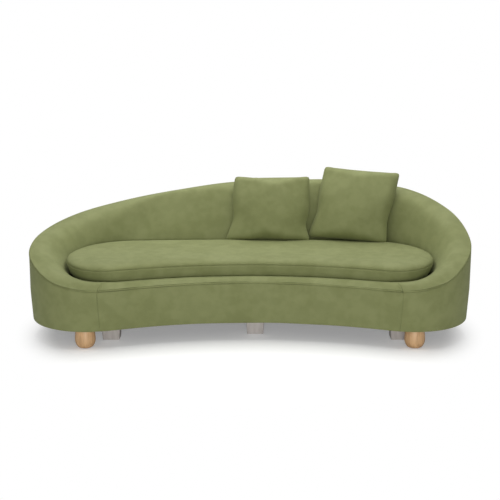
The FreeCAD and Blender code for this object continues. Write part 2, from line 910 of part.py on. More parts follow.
# Seat: elastic straps both ways, a foam platform and its cloth.
def straps(name, count, along_x, level):
    """Parallel straps that land on the seat ring."""
    inset = RING_IN - size("strap_landing")
    room = plate(f"{name}_room", BODY.face(inset, level), cell("strap"))
    strips = []
    for number in range(count):
        board = helper("Part::Box", f"{name}_{number}")
        middle = (number - (count - 1) / 2) * size("strap_pitch")
        if along_x:
            bind(board, Length=cell("length"), Width=cell("strap_width"), Height=cell("strap"))
            corner = (-size("length") / 2, middle + size("strap_pitch") / 2)
        else:
            bind(board, Length=cell("strap_width"), Width=cell("depth"), Height=cell("strap"))
            corner = (middle - size("strap_width") / 2, FRONT_Y)
        board.Placement = FreeCAD.Placement(FreeCAD.Vector(*corner, level), FreeCAD.Rotation())
        strips.append(board)
    bundle = group(f"{name}_strips", strips)
    return keep(helper("Part::Common", name, Base=bundle, Tool=room), name)


CROSS_STRAPS = int((size("length") - 2 * RING_IN - size("strap_width")) // size("strap_pitch"))
straps("cross_webbing", CROSS_STRAPS, False, SEAT_RING_TOP)
straps("long_webbing", 3, True, SEAT_RING_TOP + size("strap"))

platform = plate("platform_pad", CUSHION.face(size("seat_gap"), PLATFORM), cell("platform_height"))
keep(platform, "platform_pad")
deck = plate("deck_cloth", CUSHION.face(size("seat_gap"), PLATFORM_TOP), cell("deck_cloth"))
keep(deck, "deck_cloth")

# Seat cushion: undercut sides up to the piping, and a crown above it.
def cushion_loop(inset, level):
    return [station.seat_point(inset, level) for station in ALL_ROUND]


def cushion_body(skin):
    """The cushion, taken in all over by a skin's thickness."""
    low = CUSHION_BOTTOM + skin
    undercut = size("cushion_undercut")
    crown = size("cushion_crown")
    steps = [
        (undercut + skin, low),
        (undercut * 0.3 + skin, low + (PIPING_LEVEL - low) * 0.45),
        (size("piping_dia") / 2 + skin, PIPING_LEVEL),
        (crown * 0.35 + skin, PIPING_LEVEL + crown * 0.48 - skin * 0.6),
        (crown * 1.1 + skin, PIPING_LEVEL + crown * 0.82 - skin),
        (crown * 2.8 + skin, CUSHION_TOP - skin),
    ]
    return panelled([cushion_loop(*step) for step in steps])


cushion_outside = cushion_body(0)
shaped("seat_cushion_cover", cushion_outside.cut(cushion_body(CLOTH)))
shaped("seat_cushion_core", cushion_body(CLOTH + GAP))


def piping_section(station):
    """A small round-backed cord against the cushion's edge."""
    radius = size("piping_dia") / 2
    inner = radius - GAP
    outline = [(inner, -radius), (0.3 * radius, -0.7 * radius), (0, 0), (0.3 * radius, 0.7 * radius), (inner, radius)]
    return [station.seat_point(inset, PIPING_LEVEL + rise) for inset, rise in outline]


shaped("seat_cushion_piping", panelled([piping_section(s) for s in ALL_ROUND], closed=True))


# Pillows: two crowned halves that meet at a knife-edge seam with drawn-in sides.
def pillow_outline(width, head, height, skew, inset, draw, ear, level):
    """A four-cornered loop with eared corners and sides drawn in, its top pushed sideways."""
    low, high = inset, height - inset
    foot, top = width / 2 - inset, head / 2 - inset
    corners = [(-foot, low), (foot, low), (top, high), (-top, high)]
    points = [FreeCAD.Vector(x + skew * z / height, level, z) for x, z in corners]
    middle = FreeCAD.Vector(skew / 2, level, height / 2)
    loop = []
    for number, corner in enumerate(points):
        following = points[(number + 1) % 4]
        to_before = (points[number - 1] - corner).normalize()
        to_after = (following - corner).normalize()
        inward = (to_before + to_after).normalize()
        start, end = corner + to_after * ear, following - to_after * ear
        loop += [corner + to_before * ear, corner + inward * (ear * 0.42), start]
        pull = (middle - (start + end) / 2).normalize() * draw
        for share in (0.2, 0.5, 0.8):
            loop.append(start + (end - start) * share + pull * (4 * share * (1 - share)))
    return loop


def pillow_half(outline, crown, skin):
    """Outlines from the seam out to one crown."""
    draw, ear = size("pillow_draw"), size("pillow_ear")
    sign = 1 if crown > 0 else -1
    crown -= sign * skin
    steps = [
        (skin * 2, draw, ear, 0),
        (16 + skin, draw * 0.8, ear * 1.8, crown * 0.36),
        (52 + skin, draw * 0.2, ear * 3.2, crown * 0.76),
        (112 + skin, -draw * 0.5, ear * 2.8, crown),
    ]
    return [pillow_outline(*outline, *step) for step in steps]


def pillow(side, skin):
    outline = [size(f"{side}_pillow_{name}") for name in ("width", "head", "height", "skew")]
    front = pillow_half(outline, -size("pillow_crown"), skin)
    back = pillow_half(outline, size("pillow_back_crown"), skin)
    return panelled([*reversed(front), *back[1:]])


def pillow_place(side, outside, seat, back):
    """Stands a pillow on the cushion and slides it back until it leans on the sofa's back."""
    turn = FreeCAD.Rotation(UP, size(f"{side}_pillow_turn"))
    lean = FreeCAD.Rotation(FreeCAD.Vector(1, 0, 0), -size("pillow_lean"))
    roll = FreeCAD.Rotation(FreeCAD.Vector(0, 1, 0), size(f"{side}_pillow_roll"))
    spin = turn.multiply(lean).multiply(roll)
    moved = outside.copy()
    moved.Placement = FreeCAD.Placement(FreeCAD.Vector(), spin)
    place = FreeCAD.Placement(
        FreeCAD.Vector(size(f"{side}_pillow_x"), 0, CUSHION_TOP + GAP - moved.BoundBox.ZMin), spin
    )
    for _ in range(3):
        for target, way in ((back, FreeCAD.Vector(0, 1, 0)), (seat, FreeCAD.Vector(0, 0, -1))):
            moved.Placement = place
            place.Base += way * (moved.distToShape(target)[0] - GAP)
    return place


back_skin = sweep(along(0.66, 1.1), inside_cover_corners)
for side in ("left", "right"):
    outside = pillow(side, 0)
    place = pillow_place(side, outside, cushion_outside, back_skin)
    cover = shaped(f"{side}_pillow_cover", outside.cut(pillow(side, CLOTH)))
    cover.Placement = place
    filling = shaped(f"{side}_pillow_filling", pillow(side, CLOTH + GAP))
    filling.Placement = place

doc.recompute()

# Every object must have been built, and every sub-part must be sound, before any is written.
for item in doc.Objects:
    if "Invalid" in item.State or "Error" in item.State:
        raise RuntimeError(f"{item.Name} failed: {item.State}")
for item in parts:
    if item.Shape.isNull() or not item.Shape.isValid() or not item.Shape.Solids:
        raise RuntimeError(f"{item.Label} has no sound shape")

os.makedirs("parts", exist_ok=True)
for item in parts:
    item.Shape.exportStep(os.path.join("parts", f"{item.Label}.step"))
print(len(parts), "parts written")
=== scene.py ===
import json
import logging
import math
from dataclasses import dataclass, field
from enum import Enum
from functools import cached_property
from typing import Callable, Iterable, Sequence

import bmesh
import bpy
import numpy
from mathutils import Matrix, Vector, noise

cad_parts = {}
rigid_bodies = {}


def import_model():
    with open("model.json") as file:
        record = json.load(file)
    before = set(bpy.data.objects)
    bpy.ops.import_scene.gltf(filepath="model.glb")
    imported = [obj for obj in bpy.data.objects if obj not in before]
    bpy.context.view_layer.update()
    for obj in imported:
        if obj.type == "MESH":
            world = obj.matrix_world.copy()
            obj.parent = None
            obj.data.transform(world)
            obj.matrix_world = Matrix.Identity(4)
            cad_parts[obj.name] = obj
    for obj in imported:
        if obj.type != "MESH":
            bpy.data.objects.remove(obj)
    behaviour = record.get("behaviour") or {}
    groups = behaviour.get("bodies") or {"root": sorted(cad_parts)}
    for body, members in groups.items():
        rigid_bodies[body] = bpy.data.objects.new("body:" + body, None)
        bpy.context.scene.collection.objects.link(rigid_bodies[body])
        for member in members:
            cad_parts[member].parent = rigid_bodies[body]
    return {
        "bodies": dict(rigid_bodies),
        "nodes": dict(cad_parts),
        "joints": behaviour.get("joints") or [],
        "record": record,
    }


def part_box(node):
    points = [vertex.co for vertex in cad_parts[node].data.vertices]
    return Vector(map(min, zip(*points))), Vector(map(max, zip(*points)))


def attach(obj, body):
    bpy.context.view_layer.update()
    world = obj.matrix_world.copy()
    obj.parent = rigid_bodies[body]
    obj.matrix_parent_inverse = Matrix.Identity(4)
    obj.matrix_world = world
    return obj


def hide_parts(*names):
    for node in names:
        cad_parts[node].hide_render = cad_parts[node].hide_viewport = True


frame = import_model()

log = logging.getLogger("curved sofa")

# A corner is a depth, a level and the radius that rounds it.
Corner = tuple[float, float, float]
Colour = tuple[float, float, float, float]


class Hand(Enum):
    """The two ends of the sofa, by the side of the part's X axis that they lie on."""

    LEFT = -1
    RIGHT = 1


# Lines that the upholstery follows


@dataclass(frozen=True)
class Arc:
    """One round stretch of an outline, seen from above."""

    x: float
    y: float
    radius: float
    start: float
    end: float
    bend: int

    @property
    def length(self) -> float:
        """The arc's length along its own line."""
        return self.radius * abs(self.end - self.start)

    def at(self, angle: float, inset: float = 0.0) -> tuple[float, float]:
        """A point of the arc.

        Args:
            angle: the direction from the arc's centre, in radians.
            inset: how far the point is moved into the outline.

        Returns:
            The point's x and y.
        """
        reach = self.radius - self.bend * inset
        return self.x + reach * math.cos(angle), self.y + reach * math.sin(angle)


@dataclass(frozen=True)
class KidneyOutline:
    """Half of an outline of tangent arcs: hollow in front, round at the end, flat behind."""

    length: float
    front: float
    back: float
    hollow: float
    inner_horn: float
    horn: float
    bow: float
    sweep: float

    @cached_property
    def arcs(self) -> list[Arc]:
        """The arcs in order, from the front's middle to the back's.

        Returns:
            The front hollow, the inner horn, the horn, the end and the back.
        """
        half = self.length / 2
        turn = math.radians(self.sweep)
        fall = math.sin(turn)
        side = (self.back - self.front - self.horn * (1 + fall) - self.bow) / (1 - fall)
        horn_x = half - side + (side - self.horn) * math.cos(turn)
        dip = self.front + self.hollow
        horn_y = self.front + self.inner_horn
        rise = horn_y - dip
        front_radius = (horn_x**2 + rise**2 - self.inner_horn**2) / (2 * (self.inner_horn - rise))
        front_y = dip - front_radius
        spread = math.atan2(horn_x, horn_y - front_y)
        side_x = horn_x - (side - self.horn) * math.cos(turn)
        side_y = self.front + self.horn - (side - self.horn) * fall
        back_radius = side + (side_x**2 + self.bow**2) / (2 * self.bow)
        back_y = self.back - back_radius
        corner = math.atan2(side_y - back_y, side_x)
        quarter = math.pi / 2
        return [
            Arc(0, front_y, front_radius, quarter, quarter - spread, -1),
            Arc(horn_x, horn_y, self.inner_horn, -quarter - spread, -quarter, 1),
            Arc(horn_x, self.front + self.horn, self.horn, -quarter, turn, 1),
            Arc(side_x, side_y, side, turn, corner, 1),
            Arc(0, back_y, back_radius, corner, quarter, 1),
        ]

    @cached_property
    def half_length(self) -> float:
        """The length of the half outline."""
        return sum(arc.length for arc in self.arcs)

    def locate(self, share: float) -> tuple[int, float]:
        """Finds a place on the outline.

        Args:
            share: how far along the half outline, from 0 to 1.

        Returns:
            The number of the arc, and the angle on it.
        """
        run = share * self.half_length
        last = len(self.arcs) - 1
        for number, arc in enumerate(self.arcs):
            if run <= arc.length or number == last:
                return number, arc.start + (arc.end - arc.start) * min(run / arc.length, 1.0)
            run -= arc.length
        raise ValueError(f"no arc at {share}")

    def facing(
        self, other: "KidneyOutline", number: int, angle: float, inset: float
    ) -> tuple[float, float]:
        """Finds the point here whose wall looks the same way as a point of another outline.

        Args:
            other: the outline that the given point lies on.
            number: the other outline's arc.
            angle: the angle on that arc.
            inset: how far the point is moved into this outline.

        Returns:
            The point's x and y.
        """
        if number < 2:
            own, theirs = self.arcs[number], other.arcs[number]
            share = (angle - theirs.start) / (theirs.end - theirs.start)
            return own.at(own.start + (own.end - own.start) * share, inset)
        for arc in self.arcs[2:-1]:
            if angle <= arc.end:
                return arc.at(angle, inset)
        return self.arcs[-1].at(angle, inset)


def eased(points: Sequence[tuple[float, float]], share: float) -> float:
    """Reads a smooth curve that never overshoots its points.

    Args:
        points: (share, value) points in order.
        share: where to read it.

    Returns:
        The value there.
    """
    spans = [b[0] - a[0] for a, b in zip(points, points[1:])]
    slopes = [(b[1] - a[1]) / w for a, b, w in zip(points, points[1:], spans)]
    tangents = [0.0]
    for before, after in zip(slopes, slopes[1:]):
        product = before * after
        tangents.append(2 * product / (before + after) if product > 0 else 0.0)
    tangents.append(0.0)
    number = next((n for n in range(len(spans)) if share <= points[n + 1][0]), len(spans) - 1)
    width = spans[number]
    t = min(max((share - points[number][0]) / width, 0.0), 1.0)
    low, high = points[number][1], points[number + 1][1]
    level = low * (1 + 2 * t) * (1 - t) ** 2 + high * t * t * (3 - 2 * t)
    bend = tangents[number] * t * (1 - t) ** 2 - tangents[number + 1] * t * t * (1 - t)
    return level + width * bend


def offset(line: Sequence[Corner], distance: float) -> list[Corner]:
    """Moves an open line to its right, side by side with itself.

    Args:
        line: (depth, level, radius) corners.
        distance: how far to move it.

    Returns:
        The moved corners, with radii that keep the rounds concentric.
    """
    moved = []
    for number, (depth, level, radius) in enumerate(line):
        ends = list(line[max(number - 1, 0) : number + 2])
        normals = []
        for start, end in zip(ends, ends[1:]):
            run, rise = end[0] - start[0], end[1] - start[1]
            reach = math.hypot(run, rise)
            normals.append((rise / reach, -run / reach))
        first, last = normals[0], normals[-1]
        scale = distance / (1 + first[0] * last[0] + first[1] * last[1])
        shift = ((first[0] + last[0]) * scale, (first[1] + last[1]) * scale)
        turn = first[0] * last[1] - first[1] * last[0]
        kept = radius + distance if turn > 0 else max(radius - distance, 0.0005)
        moved.append((depth + shift[0], level + shift[1], kept if radius > 0 else 0.0))
    return moved


ROUND_SHARE = 0.48


def rounded(line: Sequence[Corner], chords: int, divisions: int) -> list[tuple[float, float]]:
    """Rounds the corners of an open line and divides its straight runs.

    Args:
        line: (depth, level, radius) corners.
        chords: how many chords each round gets.
        divisions: how many pieces each straight run gets.

    Returns:
        (depth, level) points, as many for every line of as many corners.
    """
    marks: list[list[Vector]] = []
    spots = [Vector((depth, level)) for depth, level, _ in line]
    for number, spot in enumerate(spots):
        radius = line[number][2]
        if radius <= 0 or number in (0, len(spots) - 1):
            marks.append([spot])
            continue
        before, after = spots[number - 1] - spot, spots[number + 1] - spot
        half = before.angle(after) / 2
        reach = min(radius / math.tan(half), ROUND_SHARE * min(before.length, after.length))
        middle = (before.normalized() + after.normalized()).normalized()
        centre = spot + middle * (reach / math.cos(half))
        start = spot + before.normalized() * reach - centre
        end = spot + after.normalized() * reach - centre
        turn = start.angle_signed(end)
        steps = [Matrix.Rotation(-turn * n / chords, 2) for n in range(chords + 1)]
        marks.append([centre + step @ start for step in steps])
    points = list(marks[0])
    for run in marks[1:]:
        last = points[-1]
        points += [last.lerp(run[0], n / divisions) for n in range(1, divisions)]
        points += run
    return [(point.x, point.y) for point in points]


@dataclass
class SofaLines:
    """The driving dimensions of the body and the seat, in metres."""

    length: float = 2.4
    depth: float = 0.982
    hollow: float = 0.157
    ledge_middle: float = 0.073
    ledge_horn: float = 0.089
    arm: float = 0.190
    back: float = 0.205
    bottom: float = 0.100
    lean_top: float = 0.270
    bottom_round: float = 0.008
    seat_gap: float = 0.002
    deck_top: float = 0.3118
    collar_level: float = 0.355
    collar_share: float = 0.6
    collar_hug: float = 0.008
    back_tuck_level: float = 0.430
    panel_seam: float = 0.277
    back_seam: float = 0.66

    @cached_property
    def body(self) -> KidneyOutline:
        """The outline of the whole sofa.

        Returns:
            The outline.
        """
        return KidneyOutline(
            length=self.length,
            front=-self.depth / 2,
            back=self.depth / 2,
            hollow=self.hollow,
            inner_horn=0.524,
            horn=0.329,
            bow=0.053,
            sweep=0.0,
        )

    @cached_property
    def seat(self) -> KidneyOutline:
        """The outline of the seat cushion.

        Returns:
            The outline.
        """
        return KidneyOutline(
            length=self.length - 2 * self.arm,
            front=-self.depth / 2 + self.ledge_horn,
            back=self.depth / 2 - self.back,
            hollow=self.hollow + self.ledge_middle - self.ledge_horn,
            inner_horn=0.200,
            horn=0.200,
            bow=0.0284,
            sweep=-35.0,
        )

    def rim_heights(self, hand: Hand) -> list[tuple[float, float]]:
        """The rim's heights along one half of the outline.

        Args:
            hand: which half.

        Returns:
            (share, height) points.
        """
        left = hand is Hand.LEFT
        return [
            (0.0, 0.333),
            (0.285, 0.326),
            (0.35, 0.351 if left else 0.355),
            (0.42, 0.431 if left else 0.454),
            (0.50, 0.505 if left else 0.556),
            (0.58, 0.552 if left else 0.644),
            (0.70, 0.614 if left else 0.727),
            (0.85, 0.690 if left else 0.756),
            (1.0, 0.740),
        ]


# Values along the half outline, as (share, metres) points: where the crest stands in from the
# rim, how far it rises over it and how round it is; how far the cushion's side and the outside
# wall stand in at their feet; how round the rim is, and how far the seam lies under it.
CREST_IN = [(0.0, 0.026), (0.285, 0.046), (0.42, 0.086), (0.58, 0.108), (0.70, 0.116), (1.0, 0.118)]
CREST_RISE = [
    (0.0, 0.020),
    (0.2, 0.024),
    (0.285, 0.037),
    (0.42, 0.006),
    (0.58, -0.006),
    (1.0, -0.010),
]
CREST_ROUND = [(0.0, 0.030), (0.285, 0.060), (0.42, 0.130), (0.58, 0.090), (1.0, 0.066)]
UNDERCUT = [(0.0, 0.014), (0.22, 0.018), (0.34, 0.042), (0.46, 0.046), (0.6, 0.020), (1.0, 0.010)]
WALL_LEAN = [(0.0, 0.022), (0.28, 0.020), (0.40, 0.010), (0.52, 0.010), (0.66, 0.022), (1.0, 0.022)]
RIM_ROUND = [(0.0, 0.0045), (0.35, 0.0045), (0.6, 0.014), (1.0, 0.014)]
SEAM_DROP = [(0.0, 0.006), (0.42, 0.006), (0.56, 0.020), (1.0, 0.020)]
SOFA = SofaLines()


class Station:
    """A vertical plane across the upholstery. Depth runs from the outline to the cushion."""

    def __init__(self, place: float) -> None:
        """Sets up the plane.

        Args:
            place: 0 is the front's middle and 1 the back's. Between them lies the right
                half, and past 1, or below 0, the left half.
        """
        turned = place - 2 if place > 1 else place
        self.place = place
        self.share = abs(turned)
        self.hand = Hand.LEFT if turned < 0 else Hand.RIGHT
        self.arc, self.angle = SOFA.body.locate(self.share)
        x, y = SOFA.body.arcs[self.arc].at(self.angle)
        self.foot = Vector((self.hand.value * x, y, 0))
        inward = self.seat_point(0, 0) - self.foot
        self.width = inward.length
        self.inward = inward.normalized()
        self.rim = eased(SOFA.rim_heights(self.hand), self.share)
        self.crest_in = eased(CREST_IN, self.share)
        self.crest = self.rim + eased(CREST_RISE, self.share)
        self.crest_round = eased(CREST_ROUND, self.share)
        tuck = [(0.42, SOFA.collar_level), (0.70, SOFA.back_tuck_level)]
        self.tuck = eased(tuck, self.share)
        self.seam = self.rim - eased(SEAM_DROP, self.share)
        self.undercut = eased(UNDERCUT, self.share)
        self.foot_in = self.undercut * SOFA.collar_share - SOFA.collar_hug

    def seat_point(self, inset: float, level: float) -> Vector:
        """The point of the cushion's outline that faces this plane."""
        x, y = SOFA.seat.facing(SOFA.body, self.arc, self.angle, inset)
        return Vector((self.hand.value * x, y, level))

    def body_point(self, inset: float, level: float) -> Vector:
        """The point of the body's outline, moved straight in by an inset."""
        x, y = SOFA.body.arcs[self.arc].at(self.angle, inset)
        return Vector((self.hand.value * x, y, level))

    def point(self, depth: float, level: float) -> Vector:
        """A point of the plane."""
        return self.foot + self.inward * depth + Vector((0, 0, level))


SEAM_ROWS = (0.0003, 0.0008, 0.0016, 0.0028, 0.005, 0.010)
SEAM_ROLL = 0.0028
CLEAR_OF_SEAM = 1.3


def places(start: float, end: float, step: float, seam_rows: Sequence[float] = ()) -> list[float]:
    """Divides a stretch of the outline evenly, with closer rows near its two seams.

    Args:
        start: the first place.
        end: the last place.
        step: the greatest distance between rows, in metres.
        seam_rows: distances from each end, in metres, of the extra rows.

    Returns:
        The places in order.
    """
    whole = SOFA.body.half_length
    count = math.ceil((end - start) * whole / step)
    found = {start + (end - start) * n / count for n in range(count + 1)}
    closest = seam_rows[-1] / whole * CLEAR_OF_SEAM if seam_rows else 0.0
    found = {p for p in found if p in (start, end) or min(p - start, end - p) > closest}
    found |= {start, end}
    for distance in seam_rows:
        found |= {start + distance / whole, end - distance / whole}
    return sorted(found)


def roll_in(distance: float, radius: float = SEAM_ROLL) -> float:
    """How deep cloth lies under its face near the seam that it turns into.

    Args:
        distance: how far away the seam is.
        radius: the radius that it turns in with.

    Returns:
        The depth.
    """
    if distance >= radius:
        return 0.0
    return radius - math.sqrt(max(radius**2 - (radius - distance) ** 2, 0.0))


# Mesh helpers


def grid_mesh(
    rows: int, columns: int, where: Callable[[int, int], Vector], ring: bool = False
) -> bmesh.types.BMesh:
    """Lays a grid over a surface.

    Args:
        rows: how many rows of points.
        columns: how many points in each row.
        where: gives the point at a row and a column.
        ring: whether the last row meets the first.

    Returns:
        The mesh, with a UV map in rows and columns.
    """
    mesh = bmesh.new()
    mesh.loops.layers.uv.new("UVMap")
    down = rows if ring else rows - 1
    bmesh.ops.create_grid(mesh, x_segments=columns - 1, y_segments=down, size=1.0, calc_uvs=True)
    for vert in mesh.verts:
        column = round((vert.co.x + 1) / 2 * (columns - 1))
        row = round((vert.co.y + 1) / 2 * down)
        vert.co = where(row % rows, column)
    if ring:
        bmesh.ops.remove_doubles(mesh, verts=mesh.verts, dist=1e-6)
    return mesh


def close_rims(mesh: bmesh.types.BMesh, rims: Sequence[bmesh.types.BMEdge]) -> None:
    """Fills the open rims of a mesh with triangles.

    Args:
        mesh: the mesh.
        rims: the edges round the openings.
    """
    bmesh.ops.holes_fill(mesh, edges=rims, sides=0)
    bmesh.ops.triangulate(mesh, faces=[face for face in mesh.faces if len(face.verts) > 4])


def soften(mesh: bmesh.types.BMesh, height: float, grain: float, seed: float = 0.0) -> None:
    """Moves a surface gently in and out, as hand-laid foam and cloth do.

    Args:
        mesh: the mesh to move.
        height: how far it moves at most.
        grain: the size of one swell.
        seed: where in the noise it starts.
    """
    mesh.normal_update()
    for vert in mesh.verts:
        swell = noise.noise(vert.co / grain + Vector((seed, seed, seed)))
        vert.co += vert.normal * (swell * height)


def add_piece(
    name: str, mesh: bmesh.types.BMesh, finish: "Finish", body: str, levels: int = 0
) -> bpy.types.Object:
    """Turns a mesh into a piece of the sofa that moves with a body.

    Args:
        name: the piece's name.
        mesh: its mesh, which is used up.
        finish: what it is finished in.
        body: the body that it rides on.
        levels: how often it is subdivided.

    Returns:
        The new object.
    """
    bmesh.ops.recalc_face_normals(mesh, faces=mesh.faces)
    for face in mesh.faces:
        face.smooth = True
    data = bpy.data.meshes.new(name)
    mesh.to_mesh(data)
    mesh.free()
    data.materials.append(finish.material())
    piece = bpy.data.objects.new(name, data)
    bpy.context.scene.collection.objects.link(piece)
    if levels:
        smooth = piece.modifiers.new("Smooth", "SUBSURF")
        smooth.levels = smooth.render_levels = levels
    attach(piece, body)
    log.info("%s: %d faces on %s", name, len(data.polygons), body)
    return piece


# Finishes


class Socket:
    """A node's output, with arithmetic that adds Math nodes."""

    def __init__(self, tree: bpy.types.NodeTree, output: bpy.types.NodeSocket) -> None:
        """Wraps one output of a node tree."""
        self.tree = tree
        self.output = output

    def _math(self, operation: str, first: "Socket | float", second: "Socket | float") -> "Socket":
        """Adds one Math node.

        Args:
            operation: what it does.
            first: its first value.
            second: its second value.

        Returns:
            The result.
        """
        node = self.tree.nodes.new("ShaderNodeMath")
        node.operation = operation
        for number, value in enumerate((first, second)):
            if isinstance(value, Socket):
                self.tree.links.new(value.output, node.inputs[number])
            else:
                node.inputs[number].default_value = value
        return Socket(self.tree, node.outputs[0])

    def __add__(self, other: "Socket | float") -> "Socket":
        """This plus another."""
        return self._math("ADD", self, other)

    __radd__ = __add__

    def __sub__(self, other: "Socket | float") -> "Socket":
        """This less another."""
        return self._math("SUBTRACT", self, other)

    def __rsub__(self, other: float) -> "Socket":
        """A number less this."""
        return self._math("SUBTRACT", other, self)

    def __mul__(self, other: "Socket | float") -> "Socket":
        """This times another."""
        return self._math("MULTIPLY", self, other)

    __rmul__ = __mul__


class Nodes:
    """A node tree, built from a few calls."""

    def __init__(self, tree: bpy.types.NodeTree) -> None:
        """Takes up a tree."""
        self.tree = tree

    def node(
        self, kind: str, settings: dict | None = None, out: str | int = 0, **inputs: object
    ) -> Socket:
        """Adds a node.

        Args:
            kind: the node's type.
            settings: its settings, set before its sockets.
            out: the output to return.
            **inputs: values or links of its sockets, with spaces as underscores, or i and a
                number where sockets share a name.

        Returns:
            The chosen output.
        """
        node = self.tree.nodes.new(kind)
        for name, value in (settings or {}).items():
            setattr(node, name, value)
        for name, value in inputs.items():
            label = name.replace("_", " ")
            number = int(label[1:]) if label[0] == "i" and label[1:].isdigit() else None
            socket = node.inputs[number] if number is not None else node.inputs[label]
            self.feed(socket, value)
        return Socket(self.tree, node.outputs[out])

    def feed(self, socket: bpy.types.NodeSocket, value: object) -> None:
        """Sets a socket's value or links it.

        Args:
            socket: the socket.
            value: its value, or the output that it is linked to.
        """
        if isinstance(value, Socket):
            self.tree.links.new(value.output, socket)
        else:
            socket.default_value = value

    def show(self, kind: str, shown: Socket) -> None:
        """Links a shader to the tree's output of a type."""
        end = next(node for node in self.tree.nodes if node.type == kind)
        self.feed(end.inputs["Surface"], shown)


class Shader(Nodes):
    """One material's node tree."""

    def __init__(self, name: str) -> None:
        """Starts a material with its main shader.

        Args:
            name: the material's name.
        """
        self.made = bpy.data.materials.new(name)
        self.made.use_nodes = True
        super().__init__(self.made.node_tree)
        self.main = next(n for n in self.tree.nodes if n.type == "BSDF_PRINCIPLED")
        self.place = self.node("ShaderNodeTexCoord", out="Object")

    def noise(
        self, scale: float, detail: float, roughness: float, where: Socket | None = None
    ) -> Socket:
        """Noise over the piece, from 0 to 1."""
        values = {"Scale": scale, "Detail": detail, "Roughness": roughness}
        return self.node("ShaderNodeTexNoise", Vector=where or self.place, **values)

    def stretched(self, scale: tuple[float, float, float]) -> Socket:
        """Object coordinates, stretched along the axes."""
        return self.node("ShaderNodeMapping", Vector=self.place, Scale=scale)

    def mixed(self, share: Socket, first: Colour, second: Colour | Socket) -> Socket:
        """A colour between two."""
        return self.node("ShaderNodeMix", {"data_type": "RGBA"}, out=2, i0=share, i6=first, i7=second)

    def ranged(self, value: Socket, low: float, high: float) -> Socket:
        """Stretches the values between two limits to 0 to 1."""
        settings = {"interpolation_type": "SMOOTHSTEP"}
        return self.node("ShaderNodeMapRange", settings, Value=value, From_Min=low, From_Max=high)

    def waves(self, direction: str, scale: float) -> Socket:
        """Even bands across one axis, from 0 to 1."""
        settings = {"wave_type": "BANDS", "bands_direction": direction}
        return self.node("ShaderNodeTexWave", settings, out="Fac", Vector=self.place, Scale=scale)

    def bump(self, height: Socket, distance: float, strength: float) -> Socket:
        """A bumped normal."""
        values = {"Height": height, "Distance": distance, "Strength": strength}
        return self.node("ShaderNodeBump", out="Normal", **values)

    def surface(self, **sockets: object) -> None:
        """Feeds the main shader's sockets."""
        for name, value in sockets.items():
            self.feed(self.main.inputs[name.replace("_", " ")], value)


class Finish:
    """A finish that makes its material once."""

    name: str

    def material(self) -> bpy.types.Material:
        """The finish's material."""
        title = f"{self.name}_finish"
        return bpy.data.materials.get(title) or self.dress(Shader(title))

    def dress(self, shader: Shader) -> bpy.types.Material:
        """Builds the nodes."""
        return shader.made


@dataclass(frozen=True)
class Velvet(Finish):
    """Short-pile upholstery cloth whose brushed patches catch the light unevenly."""

    name: str = "velvet"
    deep: Colour = (0.174, 0.192, 0.070, 1)
    pale: Colour = (0.208, 0.228, 0.087, 1)
    patch: float = 4.5
    pile: float = 900.0

    def dress(self, shader: Shader) -> bpy.types.Material:
        """Brushed patches, a finer mottle and the pile.

        Args:
            shader: the material's nodes.

        Returns:
            The material.
        """
        patches = shader.ranged(shader.noise(self.patch, 3.0, 0.55), 0.38, 0.62)
        mottle = shader.ranged(shader.noise(self.patch * 4, 4.0, 0.6), 0.38, 0.62)
        pile = shader.noise(self.pile, 2.0, 0.6)
        share = patches * 0.42 + mottle * 0.46 + pile * 0.12
        shader.surface(
            Base_Color=shader.mixed(share, self.deep, self.pale),
            Roughness=0.86 - patches * 0.08,
            Normal=shader.bump(pile + mottle * 0.3, 0.0006, 0.5),
            Sheen_Weight=0.08,
            Sheen_Roughness=0.45,
            Sheen_Tint=(0.8, 0.9, 0.5, 1),
        )
        return shader.made


@dataclass(frozen=True)
class TurnedWood(Finish):
    """Light hardwood with upright grain and a satin lacquer."""

    name: str = "turned_wood"
    pale: Colour = (0.660, 0.410, 0.205, 1)
    dark: Colour = (0.420, 0.240, 0.108, 1)

    def dress(self, shader: Shader) -> bpy.types.Material:
        """Broad upright streaks, fine pores and a soft shine.

        Args:
            shader: the material's nodes.

        Returns:
            The material.
        """
        streaks = shader.noise(1.0, 5.0, 0.6, shader.stretched((70, 70, 5)))
        fine = shader.noise(1.0, 3.0, 0.6, shader.stretched((520, 520, 22)))
        pores = shader.ranged(fine, 0.52, 0.75)
        share = shader.ranged(streaks, 0.34, 0.68) * 0.75 + pores * 0.35
        shader.surface(
            Base_Color=shader.mixed(share, self.pale, self.dark),
            Roughness=0.42 + pores * 0.2,
            Normal=shader.bump(pores, 0.0003, 0.25),
            Coat_Weight=0.12,
            Coat_Roughness=0.25,
        )
        return shader.made


@dataclass(frozen=True)
class GreyWood(Finish):
    """Plain support blocks under a mat grey-brown stain."""

    name: str = "grey_wood"
    pale: Colour = (0.640, 0.595, 0.560, 1)
    dark: Colour = (0.560, 0.510, 0.475, 1)

    def dress(self, shader: Shader) -> bpy.types.Material:
        """Upright grain under a mat stain.

        Args:
            shader: the material's nodes.

        Returns:
            The material.
        """
        grain = shader.ranged(shader.noise(1.0, 5.0, 0.6, shader.stretched((60, 60, 6))), 0.35, 0.7)
        shader.surface(
            Base_Color=shader.mixed(grain, self.pale, self.dark),
            Roughness=0.7 + grain * 0.1,
            Normal=shader.bump(grain, 0.0003, 0.3),
        )
        return shader.made


